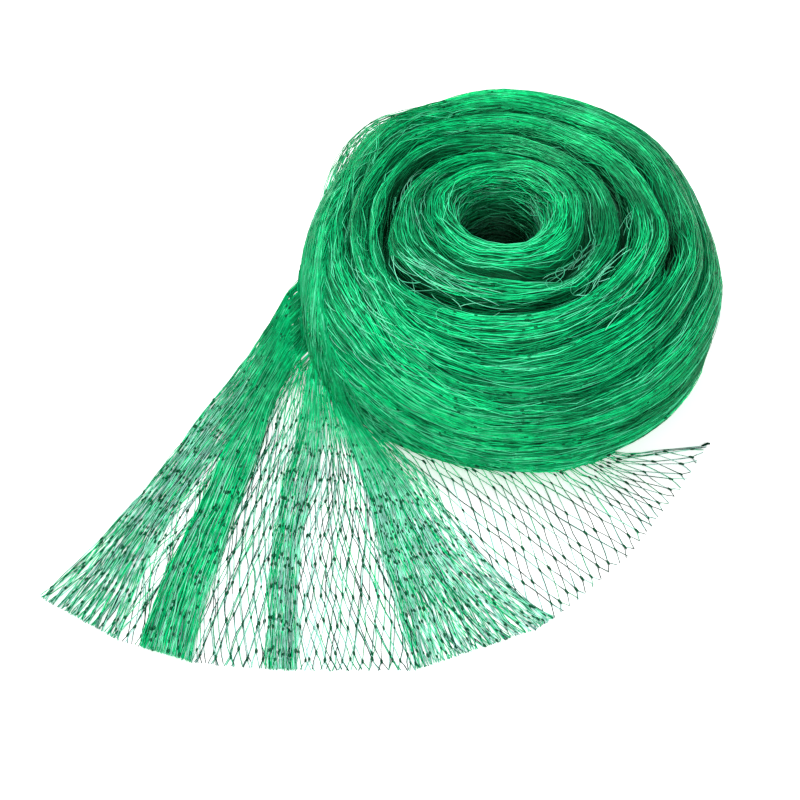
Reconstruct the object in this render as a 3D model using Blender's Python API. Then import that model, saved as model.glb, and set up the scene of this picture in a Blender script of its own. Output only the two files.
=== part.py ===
# Bird netting roll: a length of knotted mesh net, bunched to a bundle, wound round an open hole and
# standing on its end. The outermost turn leaves the roll at its left side and its loose end is
# spread out flat in front as a fan.
#
# Frame: metres, +Z up, the roll's axis upright, the fan towards -Y. The origin is at the middle of the
# footprint, on the surface that the roll stands on.
# "Azimuth" is measured at the hole's centre, in degrees, 0 at +X and growing to the left seen from
# above (90 is the far side, 180 the left side, -90 the near side). Going outwards along the winding,
# azimuth grows. "Run" is the distance along the roll's skin, in mm, from the crest of the innermost
# turn: outwards over the top, down the flank and under to the base.

import math

import bmesh
import bpy
import numpy as np

# ---------------------------------------------------------------- driving sizes (metres)
ROLL_RADIUS = 0.130        # outline of the roll, seen from above
ROLL_HEIGHT = 0.107        # crest of the innermost turn
SHOULDER_RADIUS = 0.0637   # rounding from the top into the flank
FOOT_RADIUS = 0.017        # rounding from the flank into the base
HOLE_SHIFT = (-0.0068, -0.0183)   # the hole lies this far off the outline's centre
CREST_RADIUS = 0.035       # crest of the innermost turn, round the hole
HOLE_TOP_RADIUS = 0.0235   # the hole just under the crest
HOLE_FOOT_RADIUS = 0.0185  # the hole at the surface it stands on
SHEET_THICKNESS = 0.0020   # loose end, as a sheet
SHEET_GAP = 0.0030         # between the loose end and the roll's skin
CENTRE = (0.06277, 0.05648)  # roll's axis, from the middle of the footprint

# Where the outline is fuller or flatter than a circle: azimuth at the roll's axis, half width in
# degrees, and by how much (metres).
OUTLINE_SWELLS = ((162.0, 20.0, -0.0065), (68.0, 24.0, 0.0030), (108.0, 13.0, -0.0025), (342.0, 20.0, 0.0015))

ROLL_COLUMNS = 72          # steps round the roll
FAN_COLUMNS = 66           # steps across the loose end
FAN_ROWS = 11              # steps from the roll to the end

# ---------------------------------------------------------------- grooves between the turns
# One row for each azimuth, starting where the winding is joined up (CUT), then outwards.
# Columns: azimuth, then for grooves 1 to 4 the run in mm, then their depth in mm.
# Groove 1 closes on itself round the innermost turn. The others are one spiral: what is groove 2 at
# the last row goes on as groove 3 in the first, and so on.
CUT = 60.0
GROOVES = (
    # azimuth, run1, run2, run3, run4, deep1, deep2, deep3, deep4
    (60.0,  12.0, 14.0, 32.0, 54.0, 3.5, 3.5,  6.0,  6.0),
    (90.0,   9.0, 19.0, 36.0, 55.0, 3.5, 5.0,  6.0,  5.0),
    (120.0,  7.5, 21.5, 39.5, 56.0, 4.0, 8.0,  6.0,  4.5),
    (150.0,  7.2, 23.5, 40.2, 56.5, 5.0, 12.0, 7.0,  5.0),
    (180.0,  8.0, 28.5, 43.0, 56.6, 5.5, 14.0, 8.0,  6.0),
    (210.0, 10.5, 40.0, 49.5, 60.0, 5.0, 13.0, 6.0,  5.0),
    (240.0, 13.0, 40.5, 58.5, 75.0, 5.0, 10.0, 3.5,  3.0),
    (270.0, 18.0, 38.5, 62.3, 88.0, 6.5, 12.0, 3.0,  3.0),
    (300.0, 18.5, 40.0, 59.3, 90.5, 6.5, 11.0, 5.0,  4.0),
    (330.0, 15.8, 38.0, 60.5, 89.5, 5.5, 11.0, 9.0,  4.0),
    (355.0, 13.5, 31.5, 62.0, 88.5, 5.0, 11.0, 15.0, 3.5),
    (375.0, 13.3, 29.2, 54.0, 88.0, 4.5, 10.0, 12.0, 3.0),
    (395.0, 13.0, 29.5, 53.0, 88.0, 4.0, 8.0,  9.0,  3.0),
    (420.0, 12.0, 32.0, 54.0, 88.0, 3.5, 6.0,  6.0,  3.0),
)
# Half widths of the grooves, in mm, by number.
GROOVE_WIDTHS = (3.2, 4.2, 4.2, 3.8, 4.0, 4.0)
# On the flank the spiral goes on as two more shallow creases, at a share of the way from groove 4 to
# the base: at the first row and at the last.
FLANK_CREASES = (
    # share at first row, share at last row, depth at first row, depth at last row (mm)
    (0.227, 0.536, 3.0, 2.0),
    (0.642, 1.000, 2.0, 0.0),
)

# ---------------------------------------------------------------- loose end
# One row for each section across it, from its left edge to its right edge.
# Columns: share of the way across; where it leaves the roll (azimuth at the roll's axis, height);
# where it ends on the surface (x, y from the roll's axis); height of the fold that runs along it;
# how far it bends to the right half way along.
FAN = (
    # share, root azimuth, root height, end x, end y, fold height, bend to the right half way
    (0.00, 180.0, 0.0320, -0.2549, -0.2033, 0.0010, 0.0130),
    (0.07, 183.0, 0.0300, -0.2200, -0.2245, 0.0040, 0.0110),
    (0.14, 186.0, 0.0270, -0.1850, -0.2368, 0.0015, 0.0090),
    (0.20, 189.0, 0.0240, -0.1600, -0.2422, 0.0075, 0.0070),
    (0.27, 194.0, 0.0200, -0.1340, -0.2450, 0.0012, 0.0045),
    (0.34, 200.0, 0.0150, -0.1100, -0.2452, 0.0045, 0.0020),
    (0.41, 208.0, 0.0100, -0.0840, -0.2452, 0.0012, 0.0000),
    (0.49, 218.0, 0.0060, -0.0534, -0.2446, 0.0018, 0.0000),
    (0.56, 228.0, 0.0030, -0.0262, -0.2369, 0.0050, 0.0000),
    (0.63, 238.0, 0.0012, -0.0021, -0.2263, 0.0020, 0.0000),
    (0.70, 248.0, 0.0012,  0.0192, -0.2126, 0.0055, 0.0000),
    (0.78, 259.0, 0.0012,  0.0450, -0.1920, 0.0012, 0.0000),
    (0.86, 270.0, 0.0012,  0.0700, -0.1670, 0.0014, 0.0000),
    (0.93, 280.0, 0.0012,  0.0930, -0.1390, 0.0012, 0.0000),
    (1.00, 291.0, 0.0012,  0.1157, -0.1054, 0.0030, 0.0000),
)

GREEN = (0.010, 0.300, 0.110, 1.0)


# ---------------------------------------------------------------- helpers
def smooth_rows(table, at, key=0):
    """Each column of a table at the values `at` of its key column, on a smooth curve that stays
    between neighbouring rows."""
    t = np.array(table, float)
    x = t[:, key]
    i = np.clip(np.searchsorted(x, at, side="right") - 1, 0, len(x) - 2)
    h = x[i + 1] - x[i]
    f = (at - x[i]) / h
    slope = np.diff(t, axis=0) / np.diff(x)[:, None]
    inner = np.where(slope[:-1] * slope[1:] > 0,
                     2 * slope[:-1] * slope[1:] / np.where(slope[:-1] + slope[1:] == 0, 1, slope[:-1] + slope[1:]), 0)
    m = np.vstack([slope[:1], inner, slope[-1:]])
    f, h = f[:, None], h[:, None]
    h00, h10 = 2 * f**3 - 3 * f**2 + 1, f**3 - 2 * f**2 + f
    h01, h11 = -2 * f**3 + 3 * f**2, f**3 - f**2
    return h00 * t[i] + h10 * h * m[i] + h01 * t[i + 1] + h11 * h * m[i + 1]


def outline_radius(azimuth_at_axis):
    """Radius of the outline, seen from above, at an azimuth (radians) at the roll's axis."""
    r = ROLL_RADIUS
    for at, wide, swell in OUTLINE_SWELLS:
        d = (np.degrees(azimuth_at_axis) - at + 180.0) % 360.0 - 180.0
        r = r + swell * np.exp(-(d / wide) ** 2)
    return r


def skin_section(azimuth, steps=240):
    """Radius and height of the plain skin at an azimuth, with the run in metres: negative down the
    hole's wall, 0 at the crest, then over the top and down to the base."""
    c, s = math.cos(azimuth), math.sin(azimuth)
    hx, hy = HOLE_SHIFT
    b, q = hx * c + hy * s, hx * hx + hy * hy
    from_axis = lambda rp: -b + np.sqrt(np.maximum(b * b - q + rp * rp, 0.0))
    reach = from_axis(ROLL_RADIUS)
    radius = float(outline_radius(math.atan2(hy + reach * s, hx + reach * c)))
    start = math.hypot(hx + CREST_RADIUS * c, hy + CREST_RADIUS * s)
    flat = radius - SHOULDER_RADIUS
    first = math.asin(max(0.0, min(1.0, (start - flat) / SHOULDER_RADIUS)))
    a = np.linspace(first, math.pi / 2, steps)
    r = from_axis(flat + SHOULDER_RADIUS * np.sin(a))
    z = ROLL_HEIGHT - SHOULDER_RADIUS + SHOULDER_RADIUS * np.cos(a)
    if start < flat:
        lead = np.linspace(CREST_RADIUS, r[0], steps // 3)[:-1]
        r, z = np.concatenate([lead, r]), np.concatenate([np.full(len(lead), ROLL_HEIGHT), z])
    low = np.linspace(z[-1], FOOT_RADIUS, steps // 3)[1:]
    r, z = np.concatenate([r, np.full(len(low), r[-1])]), np.concatenate([z, low])
    a = np.linspace(0, math.pi / 2, steps // 3)[1:]
    r = np.concatenate([r, from_axis(radius - FOOT_RADIUS + FOOT_RADIUS * np.cos(a))])
    z = np.concatenate([z, FOOT_RADIUS - FOOT_RADIUS * np.sin(a)])
    # the hole's wall, from its foot up to the crest
    a = np.linspace(0, math.pi / 2, steps // 3)
    lip_r = HOLE_TOP_RADIUS + (CREST_RADIUS - HOLE_TOP_RADIUS) * (1 - np.cos(a))
    lip_z = ROLL_HEIGHT - 0.015 + 0.015 * np.sin(a)
    wall = np.linspace(0, 1, steps // 3)[:-1]
    wall_r = HOLE_FOOT_RADIUS + (HOLE_TOP_RADIUS - HOLE_FOOT_RADIUS) * wall**1.5
    wall_z = (ROLL_HEIGHT - 0.015) * wall
    ri, zi = np.concatenate([wall_r, lip_r]), np.concatenate([wall_z, lip_z])
    inner = np.concatenate([[0], np.cumsum(np.hypot(np.diff(ri), np.diff(zi)))])
    outer = np.concatenate([[0], np.cumsum(np.hypot(np.diff(r), np.diff(z)))])
    return (np.concatenate([ri[:-1], r]), np.concatenate([zi[:-1], z]),
            np.concatenate([inner[:-1] - inner[-1], outer]))


def grooves_at(azimuth_deg, run_end):
    """Run and depth (metres) of every groove at one azimuth."""
    a = (azimuth_deg - CUT) % 360.0
    row = smooth_rows(GROOVES, np.array([a + CUT]))[0]
    runs, deeps = list(row[1:5]), list(row[5:9])
    for near, far, d0, d1 in FLANK_CREASES:
        share = near + (far - near) * a / 360.0
        runs.append(row[4] + share * (run_end * 1000 - row[4]))
        deeps.append(d0 + (d1 - d0) * a / 360.0)
    return np.array(runs) / 1000, np.array(deeps) / 1000


def ring_lines(azimuth_deg):
    """Closed lines that lie on grooves 1 to 4, save near the cut, where each passes half way between
    the groove's two ends."""
    a = (azimuth_deg - CUT) % 360.0
    row, ends = smooth_rows(GROOVES, np.array([a + CUT]))[0], np.array((GROOVES[0], GROOVES[-1]))
    half = (ends[1, 1:5] - ends[0, 1:5]) / 2
    fade = lambda d: 0.5 + 0.5 * math.cos(math.pi * min(1.0, d / 55.0))
    return (row[1:5] + half * (fade(a) - fade(360.0 - a))) / 1000


def unevenness(azimuth, run):
    """Slow swelling of the hand-wound bundle, in metres."""
    return (0.0011 * np.sin(2 * azimuth + 0.7) * np.cos(23 * run)
            + 0.0008 * np.sin(3 * azimuth - 1.1 + 31 * run)
            + 0.0005 * np.sin(7 * azimuth + 0.4 - 47 * run))


def roll_point(azimuth, runs):
    """Points of the finished skin at one azimuth for an array of runs."""
    r, z, v = skin_section(azimuth)
    rr, zz = np.interp(runs, v, r), np.interp(runs, v, z)
    step = 0.0008
    dr = np.interp(runs + step, v, r) - np.interp(runs - step, v, r)
    dz = np.interp(runs + step, v, z) - np.interp(runs - step, v, z)
    n = np.maximum(np.hypot(dr, dz), 1e-9)
    out_r, out_z = -dz / n, dr / n          # away from the material
    at, deep = grooves_at(math.degrees(azimuth), v[-1])
    cut = np.zeros_like(runs)
    for k in range(len(at)):
        cut = np.maximum(cut, deep[k] * np.exp(-((runs - at[k]) / (GROOVE_WIDTHS[k] / 1000)) ** 2))
    # nothing moves where the roll stands, nor down the hole
    free = np.clip((v[-1] - runs) / 0.030, 0, 1) * np.clip((runs + 0.012) / 0.012, 0, 1)
    free = free * free * (3 - 2 * free)
    off = (unevenness(azimuth, runs) - cut) * free
    rr, zz = rr + out_r * off, zz + out_z * off
    x = HOLE_SHIFT[0] + rr * math.cos(azimuth)
    y = HOLE_SHIFT[1] + rr * math.sin(azimuth)
    return np.stack([x + CENTRE[0], y + CENTRE[1], zz], axis=1)


def new_object(name, verts, faces, material, collection):
    mesh = bpy.data.meshes.new(name)
    mesh.from_pydata([tuple(map(float, p)) for p in verts], [], faces)
    bm = bmesh.new()
    bm.from_mesh(mesh)
    bmesh.ops.recalc_face_normals(bm, faces=bm.faces)
    if bm.calc_volume(signed=True) < 0:
        bmesh.ops.reverse_faces(bm, faces=bm.faces)
    bm.to_mesh(mesh)
    bm.free()
    mesh.shade_smooth()
    mesh.set_sharp_from_angle(angle=math.radians(40))
    mesh.materials.append(material)
    obj = bpy.data.objects.new(name, mesh)
    collection.objects.link(obj)
    return obj


# ---------------------------------------------------------------- the wound roll
def build_roll(material, collection):
    """One loft round the axis. Its sections crowd together at the grooves, which they follow round
    the roll, and each closes across the flat base."""
    innermost = np.array([0.0, 0.35, 0.65, 0.86])
    turn = np.array([0.0, 0.1, 0.23, 0.4, 0.6, 0.77, 0.9])
    flank = np.array([0.0, 0.05, 0.12, 0.22, 0.35, 0.5, 0.67, 0.84])
    rows = []
    for i in range(ROLL_COLUMNS):
        azimuth = 2 * math.pi * i / ROLL_COLUMNS
        r, z, v = skin_section(azimuth)
        wall = np.array([v[0], v[0] * 0.62, v[0] * 0.32, v[0] * 0.17, v[0] * 0.08])
        foot = v[-1] - math.pi / 2 * FOOT_RADIUS
        line = [0.0] + list(ring_lines(math.degrees(azimuth))) + [foot]
        runs = [wall]
        for k, spread in enumerate((innermost, turn, turn, turn, flank)):
            runs.append(line[k] + (line[k + 1] - line[k]) * spread)
        runs.append(np.linspace(foot, v[-1], 5))
        p = roll_point(azimuth, np.concatenate(runs))
        p[0, 2] = p[-1, 2] = 0.0
        rows.append(p)
    n = len(rows[0])
    verts = np.concatenate(rows)
    faces = []
    for i in range(ROLL_COLUMNS):
        k = (i + 1) % ROLL_COLUMNS
        for j in range(n):
            m = (j + 1) % n
            faces.append((i * n + j, k * n + j, k * n + m, i * n + m))
    return new_object("net_roll", verts, faces, material, collection)


# ---------------------------------------------------------------- the loose end
def skin_radius_at(azimuth_at_axis, height):
    """Radius of the outline at a height on the flank, measured at the roll's axis."""
    top = ROLL_HEIGHT - SHOULDER_RADIUS
    widest = outline_radius(azimuth_at_axis)
    up = np.clip((height - top) / SHOULDER_RADIUS, 0, 1)
    low = np.clip((FOOT_RADIUS - height) / FOOT_RADIUS, 0, 1)
    return (widest - SHOULDER_RADIUS * (1 - np.sqrt(1 - up**2))
            - FOOT_RADIUS * (1 - np.sqrt(1 - low**2)))


def build_loose_end(material, collection):
    """A sheet between the line where the net leaves the roll and the line where it ends, with soft
    folds that run along it and die out at the roll. Both faces follow the folds."""
    across = np.linspace(0, 1, FAN_COLUMNS + 1)
    row = smooth_rows(FAN, across)
    azimuth, height = np.radians(row[:, 1]), row[:, 2]
    radius = skin_radius_at(azimuth, height) + SHEET_GAP + SHEET_THICKNESS * 0.5
    root = np.stack([radius * np.cos(azimuth), radius * np.sin(azimuth), height], axis=1)
    end = np.stack([row[:, 3], row[:, 4], np.zeros(len(row))], axis=1)
    out = np.stack([np.cos(azimuth), np.sin(azimuth)], axis=1)
    middle = []
    for t in np.linspace(0, 1, FAN_ROWS + 1):
        p = root + (end - root) * t
        # it leaves the roll nearly along its skin, bows outwards a little, and sinks to the surface
        bow = 0.006 * math.sin(math.pi * min(1.0, t * 1.6)) * (t < 0.625)
        p[:, :2] += out * bow
        p[:, 0] += row[:, 6] * math.sin(math.pi * t)
        sink = (1 - min(1.0, t / 0.78)) ** 1.9
        fold = row[:, 5] * (1 - (1 - t) ** 2) * (0.85 + 0.15 * np.cos(9 * t + 20 * across))
        p[:, 2] = np.maximum(root[:, 2] * sink, SHEET_THICKNESS / 2 + 0.00002 + fold)
        middle.append(p)
    middle = np.array(middle)
    du = np.gradient(middle, axis=1)
    dv = np.gradient(middle, axis=0)
    normal = np.cross(du, dv)
    normal /= np.linalg.norm(normal, axis=2, keepdims=True)
    normal *= 1.0 if normal[:, :, 2].mean() > 0 else -1.0
    upper = middle + normal * SHEET_THICKNESS / 2
    lower = middle - normal * SHEET_THICKNESS / 2
    flat = middle[:, :, 2] < SHEET_THICKNESS / 2 + 0.0016   # lies flat: a level underside on the surface
    lower[:, :, 2] = np.where(flat, 0.0, np.maximum(lower[:, :, 2], 0.0))
    shift = np.array([CENTRE[0], CENTRE[1], 0.0])
    nr, nc = middle.shape[:2]
    verts = np.concatenate([(upper + shift).reshape(-1, 3), (lower + shift).reshape(-1, 3)])
    top = lambda i, j: i * nc + j
    low = lambda i, j: nr * nc + i * nc + j
    faces = []
    for i in range(nr - 1):
        for j in range(nc - 1):
            faces.append((top(i, j), top(i, j + 1), top(i + 1, j + 1), top(i + 1, j)))
            faces.append((low(i, j), low(i + 1, j), low(i + 1, j + 1), low(i, j + 1)))
    for i in range(nr - 1):
        faces.append((top(i, 0), top(i + 1, 0), low(i + 1, 0), low(i, 0)))
        faces.append((top(i, nc - 1), low(i, nc - 1), low(i + 1, nc - 1), top(i + 1, nc - 1)))
    for j in range(nc - 1):
        faces.append((top(0, j), low(0, j), low(0, j + 1), top(0, j + 1)))
        faces.append((top(nr - 1, j), top(nr - 1, j + 1), low(nr - 1, j + 1), low(nr - 1, j)))
    return new_object("net_loose_end", verts, faces, material, collection)


def net_material(name, colour, roughness):
    material = bpy.data.materials.new(name)
    material.use_nodes = True
    shader = material.node_tree.nodes["Principled BSDF"]
    shader.inputs["Base Color"].default_value = colour
    shader.inputs["Roughness"].default_value = roughness
    shader.inputs["Metallic"].default_value = 0.0
    return material


def main():
    for obj in list(bpy.data.objects):
        bpy.data.objects.remove(obj, do_unlink=True)
    collection = bpy.data.collections.new("bird_netting_roll")
    bpy.context.scene.collection.children.link(collection)
    build_roll(net_material("wound_net", GREEN, 0.38), collection)
    build_loose_end(net_material("spread_net", (0.015, 0.360, 0.150, 1.0), 0.38), collection)


main()
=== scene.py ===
# Bird netting roll: the looks. Metres, +Z up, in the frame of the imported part.
# The wound roll is a grooved core under several layers of fine knotted strands. The loose end is a net of
# zigzag lines joined by knots, fanned out on the floor.
import math

import bpy
import numpy as np
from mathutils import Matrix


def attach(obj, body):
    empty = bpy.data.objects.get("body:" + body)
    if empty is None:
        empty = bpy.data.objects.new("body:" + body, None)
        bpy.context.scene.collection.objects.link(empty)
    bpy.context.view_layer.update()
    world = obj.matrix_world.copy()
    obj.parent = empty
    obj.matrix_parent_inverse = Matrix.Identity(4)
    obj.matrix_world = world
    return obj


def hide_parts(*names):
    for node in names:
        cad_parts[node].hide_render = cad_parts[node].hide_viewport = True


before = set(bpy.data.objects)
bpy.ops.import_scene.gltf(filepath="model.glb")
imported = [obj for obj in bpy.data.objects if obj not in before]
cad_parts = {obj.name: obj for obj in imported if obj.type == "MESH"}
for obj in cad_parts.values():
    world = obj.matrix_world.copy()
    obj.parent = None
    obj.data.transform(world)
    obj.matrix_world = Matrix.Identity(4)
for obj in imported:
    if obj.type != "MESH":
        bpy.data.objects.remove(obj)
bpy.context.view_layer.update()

# ---------------------------------------------------------------- camera
CENTRE = (0.06277, 0.05648)  # the roll's axis, as in the part

cam = bpy.data.cameras.new("camera")
cam.lens, cam.sensor_width, cam.sensor_fit = 49.81, 36.0, "HORIZONTAL"
cam.clip_start, cam.clip_end = 0.01, 50.0
cam_obj = bpy.data.objects.new("camera", cam)
cam_obj.location = (CENTRE[0] - 0.0635, CENTRE[1] - 0.4846, 0.5237)
cam_obj.rotation_euler = (math.radians(90 - 51.67), 0, 0)
bpy.context.scene.collection.objects.link(cam_obj)
bpy.context.scene.camera = cam_obj

# ---------------------------------------------------------------- the roll's shape, as in the part
ROLL_RADIUS = 0.130
ROLL_HEIGHT = 0.107
SHOULDER_RADIUS = 0.0637
FOOT_RADIUS = 0.017
HOLE_SHIFT = (-0.0068, -0.0183)
CREST_RADIUS = 0.035
HOLE_TOP_RADIUS = 0.0235
HOLE_FOOT_RADIUS = 0.0185
OUTLINE_SWELLS = ((162.0, 20.0, -0.0065), (68.0, 24.0, 0.0030), (108.0, 13.0, -0.0025), (342.0, 20.0, 0.0015))
CUT = 60.0
GROOVES = (
    # azimuth, run1, run2, run3, run4, deep1, deep2, deep3, deep4
    (60.0,  12.0, 14.0, 32.0, 54.0, 3.5, 3.5,  6.0,  4.5),
    (90.0,   9.0, 19.0, 36.0, 55.0, 3.5, 5.0,  6.0,  5.0),
    (120.0,  7.5, 21.5, 39.5, 56.0, 4.0, 8.0,  6.0,  4.5),
    (150.0,  8.6, 23.5, 40.2, 56.5, 5.0, 12.0, 7.0,  5.0),
    (180.0, 10.6, 28.5, 43.0, 56.6, 4.5, 14.0, 8.0,  6.0),
    (210.0, 13.2, 40.0, 49.5, 60.0, 4.0, 13.0, 6.0,  5.0),
    (240.0, 15.4, 40.0, 58.5, 75.0, 4.0, 7.0,  3.5,  3.0),
    (270.0, 17.8, 37.8, 62.3, 88.0, 5.5, 8.5,  3.0,  3.0),
    (300.0, 21.0, 37.2, 59.3, 90.5, 8.0, 9.5,  5.0,  4.0),
    (330.0, 18.4, 36.2, 62.5, 89.5, 7.0, 12.0, 5.0,  4.0),
    (355.0, 15.0, 33.5, 66.5, 88.5, 6.5, 12.0, 13.0, 3.5),
    (375.0, 14.0, 31.5, 58.0, 88.0, 4.5, 10.0, 13.0, 3.0),
    (395.0, 13.2, 30.5, 54.5, 88.0, 4.0, 8.0,  7.0,  3.0),
    (420.0, 12.0, 32.0, 54.0, 88.0, 3.5, 6.0,  4.5,  3.0),
)
GROOVE_WIDTHS = (3.2, 4.2, 4.2, 3.8, 4.0, 4.0)
FLANK_CREASES = ((0.227, 0.536, 3.0, 2.0), (0.642, 1.000, 2.0, 0.0))
DEEPER, NARROWER = 1.25, 0.80   # the drawn slits against the part's rounder ones
# where a groove gapes: which, azimuth, over how far, by how much
GAPES = ((0, 306.0, 20.0, 1.7), (0, 350.0, 16.0, 0.5), (2, 361.0, 12.0, 0.6))
# how far the strands' bed lies inside the part's outline, so that their loose outermost ones reach it
BED = ((176.0, 24.0, -0.0062), (194.0, 13.0, -0.0030), (359.0, 18.0, -0.0046), (118.0, 15.0, -0.0046), (148.0, 13.0, -0.0054), (38.0, 16.0, 0.0026))


def smooth_rows(table, at, key=0):
    t = np.array(table, float)
    x = t[:, key]
    i = np.clip(np.searchsorted(x, at, side="right") - 1, 0, len(x) - 2)
    h = x[i + 1] - x[i]
    f = (at - x[i]) / h
    slope = np.diff(t, axis=0) / np.diff(x)[:, None]
    inner = np.where(slope[:-1] * slope[1:] > 0,
                     2 * slope[:-1] * slope[1:] / np.where(slope[:-1] + slope[1:] == 0, 1, slope[:-1] + slope[1:]), 0)
    m = np.vstack([slope[:1], inner, slope[-1:]])
    f, h = f[:, None], h[:, None]
    h00, h10 = 2 * f**3 - 3 * f**2 + 1, f**3 - 2 * f**2 + f
    h01, h11 = -2 * f**3 + 3 * f**2, f**3 - f**2
    return h00 * t[i] + h10 * h * m[i] + h01 * t[i + 1] + h11 * h * m[i + 1]


def outline_radius(azimuth_at_axis):
    r = ROLL_RADIUS
    for at, wide, swell in OUTLINE_SWELLS + BED:
        d = (np.degrees(azimuth_at_axis) - at + 180.0) % 360.0 - 180.0
        r = r + swell * np.exp(-(d / wide) ** 2)
    return r


def skin_section(azimuth, steps=240):
    c, s = math.cos(azimuth), math.sin(azimuth)
    hx, hy = HOLE_SHIFT
    b, q = hx * c + hy * s, hx * hx + hy * hy
    from_axis = lambda rp: -b + np.sqrt(np.maximum(b * b - q + rp * rp, 0.0))
    reach = from_axis(ROLL_RADIUS)
    radius = float(outline_radius(math.atan2(hy + reach * s, hx + reach * c)))
    start = math.hypot(hx + CREST_RADIUS * c, hy + CREST_RADIUS * s)
    flat = radius - SHOULDER_RADIUS
    first = math.asin(max(0.0, min(1.0, (start - flat) / SHOULDER_RADIUS)))
    a = np.linspace(first, math.pi / 2, steps)
    r = from_axis(flat + SHOULDER_RADIUS * np.sin(a))
    z = ROLL_HEIGHT - SHOULDER_RADIUS + SHOULDER_RADIUS * np.cos(a)
    if start < flat:
        lead = np.linspace(CREST_RADIUS, r[0], steps // 3)[:-1]
        r, z = np.concatenate([lead, r]), np.concatenate([np.full(len(lead), ROLL_HEIGHT), z])
    low = np.linspace(z[-1], FOOT_RADIUS, steps // 3)[1:]
    r, z = np.concatenate([r, np.full(len(low), r[-1])]), np.concatenate([z, low])
    a = np.linspace(0, math.pi / 2, steps // 3)[1:]
    r = np.concatenate([r, from_axis(radius - FOOT_RADIUS + FOOT_RADIUS * np.cos(a))])
    z = np.concatenate([z, FOOT_RADIUS - FOOT_RADIUS * np.sin(a)])
    a = np.linspace(0, math.pi / 2, steps // 3)
    lip_r = HOLE_TOP_RADIUS + (CREST_RADIUS - HOLE_TOP_RADIUS) * (1 - np.cos(a))
    lip_z = ROLL_HEIGHT - 0.015 + 0.015 * np.sin(a)
    wall = np.linspace(0, 1, steps // 3)[:-1]
    wall_r = HOLE_FOOT_RADIUS + (HOLE_TOP_RADIUS - HOLE_FOOT_RADIUS) * wall**1.5
    wall_z = (ROLL_HEIGHT - 0.015) * wall
    ri, zi = np.concatenate([wall_r, lip_r]), np.concatenate([wall_z, lip_z])
    inner = np.concatenate([[0], np.cumsum(np.hypot(np.diff(ri), np.diff(zi)))])
    outer = np.concatenate([[0], np.cumsum(np.hypot(np.diff(r), np.diff(z)))])
    return (np.concatenate([ri[:-1], r]), np.concatenate([zi[:-1], z]),
            np.concatenate([inner[:-1] - inner[-1], outer]))


def grooves_at(azimuth_deg, run_end):
    a = (azimuth_deg - CUT) % 360.0
    row = smooth_rows(GROOVES, np.array([a + CUT]))[0]
    runs, deeps = list(row[1:5]), list(row[5:9])
    for near, far, d0, d1 in FLANK_CREASES:
        share = near + (far - near) * a / 360.0
        runs.append(row[4] + share * (run_end * 1000 - row[4]))
        deeps.append(d0 + (d1 - d0) * a / 360.0)
    return np.array(runs) / 1000, np.array(deeps) / 1000


def unevenness(azimuth, run):
    return (0.0011 * np.sin(2 * azimuth + 0.7) * np.cos(23 * run)
            + 0.0008 * np.sin(3 * azimuth - 1.1 + 31 * run)
            + 0.0005 * np.sin(7 * azimuth + 0.4 - 47 * run))


# ---------------------------------------------------------------- noise
TABLES = {}


def lattice(u, v, seed, period_v=None):
    """Smooth noise, -1 to 1, over two coordinates counted in cells."""
    rows, cols = 89, period_v or 521
    if (seed, cols) not in TABLES:
        TABLES[seed, cols] = np.random.default_rng(seed).uniform(-1, 1, (rows, cols))
    t = TABLES[seed, cols]
    u, v = np.broadcast_arrays(np.asarray(u, float), np.asarray(v, float))
    iu, iv = np.floor(u).astype(int), np.floor(v).astype(int)
    fu, fv = u - iu, v - iv
    fu, fv = fu * fu * fu * (fu * (fu * 6 - 15) + 10), fv * fv * fv * (fv * (fv * 6 - 15) + 10)
    a, b = t[iu % rows, iv % cols], t[(iu + 1) % rows, iv % cols]
    c, d = t[iu % rows, (iv + 1) % cols], t[(iu + 1) % rows, (iv + 1) % cols]
    return (a * (1 - fu) + b * fu) * (1 - fv) + (c * (1 - fu) + d * fu) * fv


# ---------------------------------------------------------------- the winding's own coordinates
# "w" counts the grooves outwards: -1 foot of the hole, 0 crest, 1 to 4 grooves, 5 and 6 flank creases,
# 7 base. Strands keep their w; past the cut a strand outside groove 1 goes on one w further out.
# Azimuth "turn" is measured from the cut, 0 to 2 pi.
TURNS = np.linspace(0, 2 * math.pi, 181)
RUN_STEP = 0.0005
RUNS = np.arange(-0.112, 0.2085, RUN_STEP)
BAND_MM = (92.0, 13.0, 19.0, 19.0, 24.0, 40.0, 45.0, 45.0)     # usual width of each band, from w = -1
BAND_R = (0.021, 0.044, 0.060, 0.078, 0.098, 0.122, 0.130, 0.127)


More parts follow.
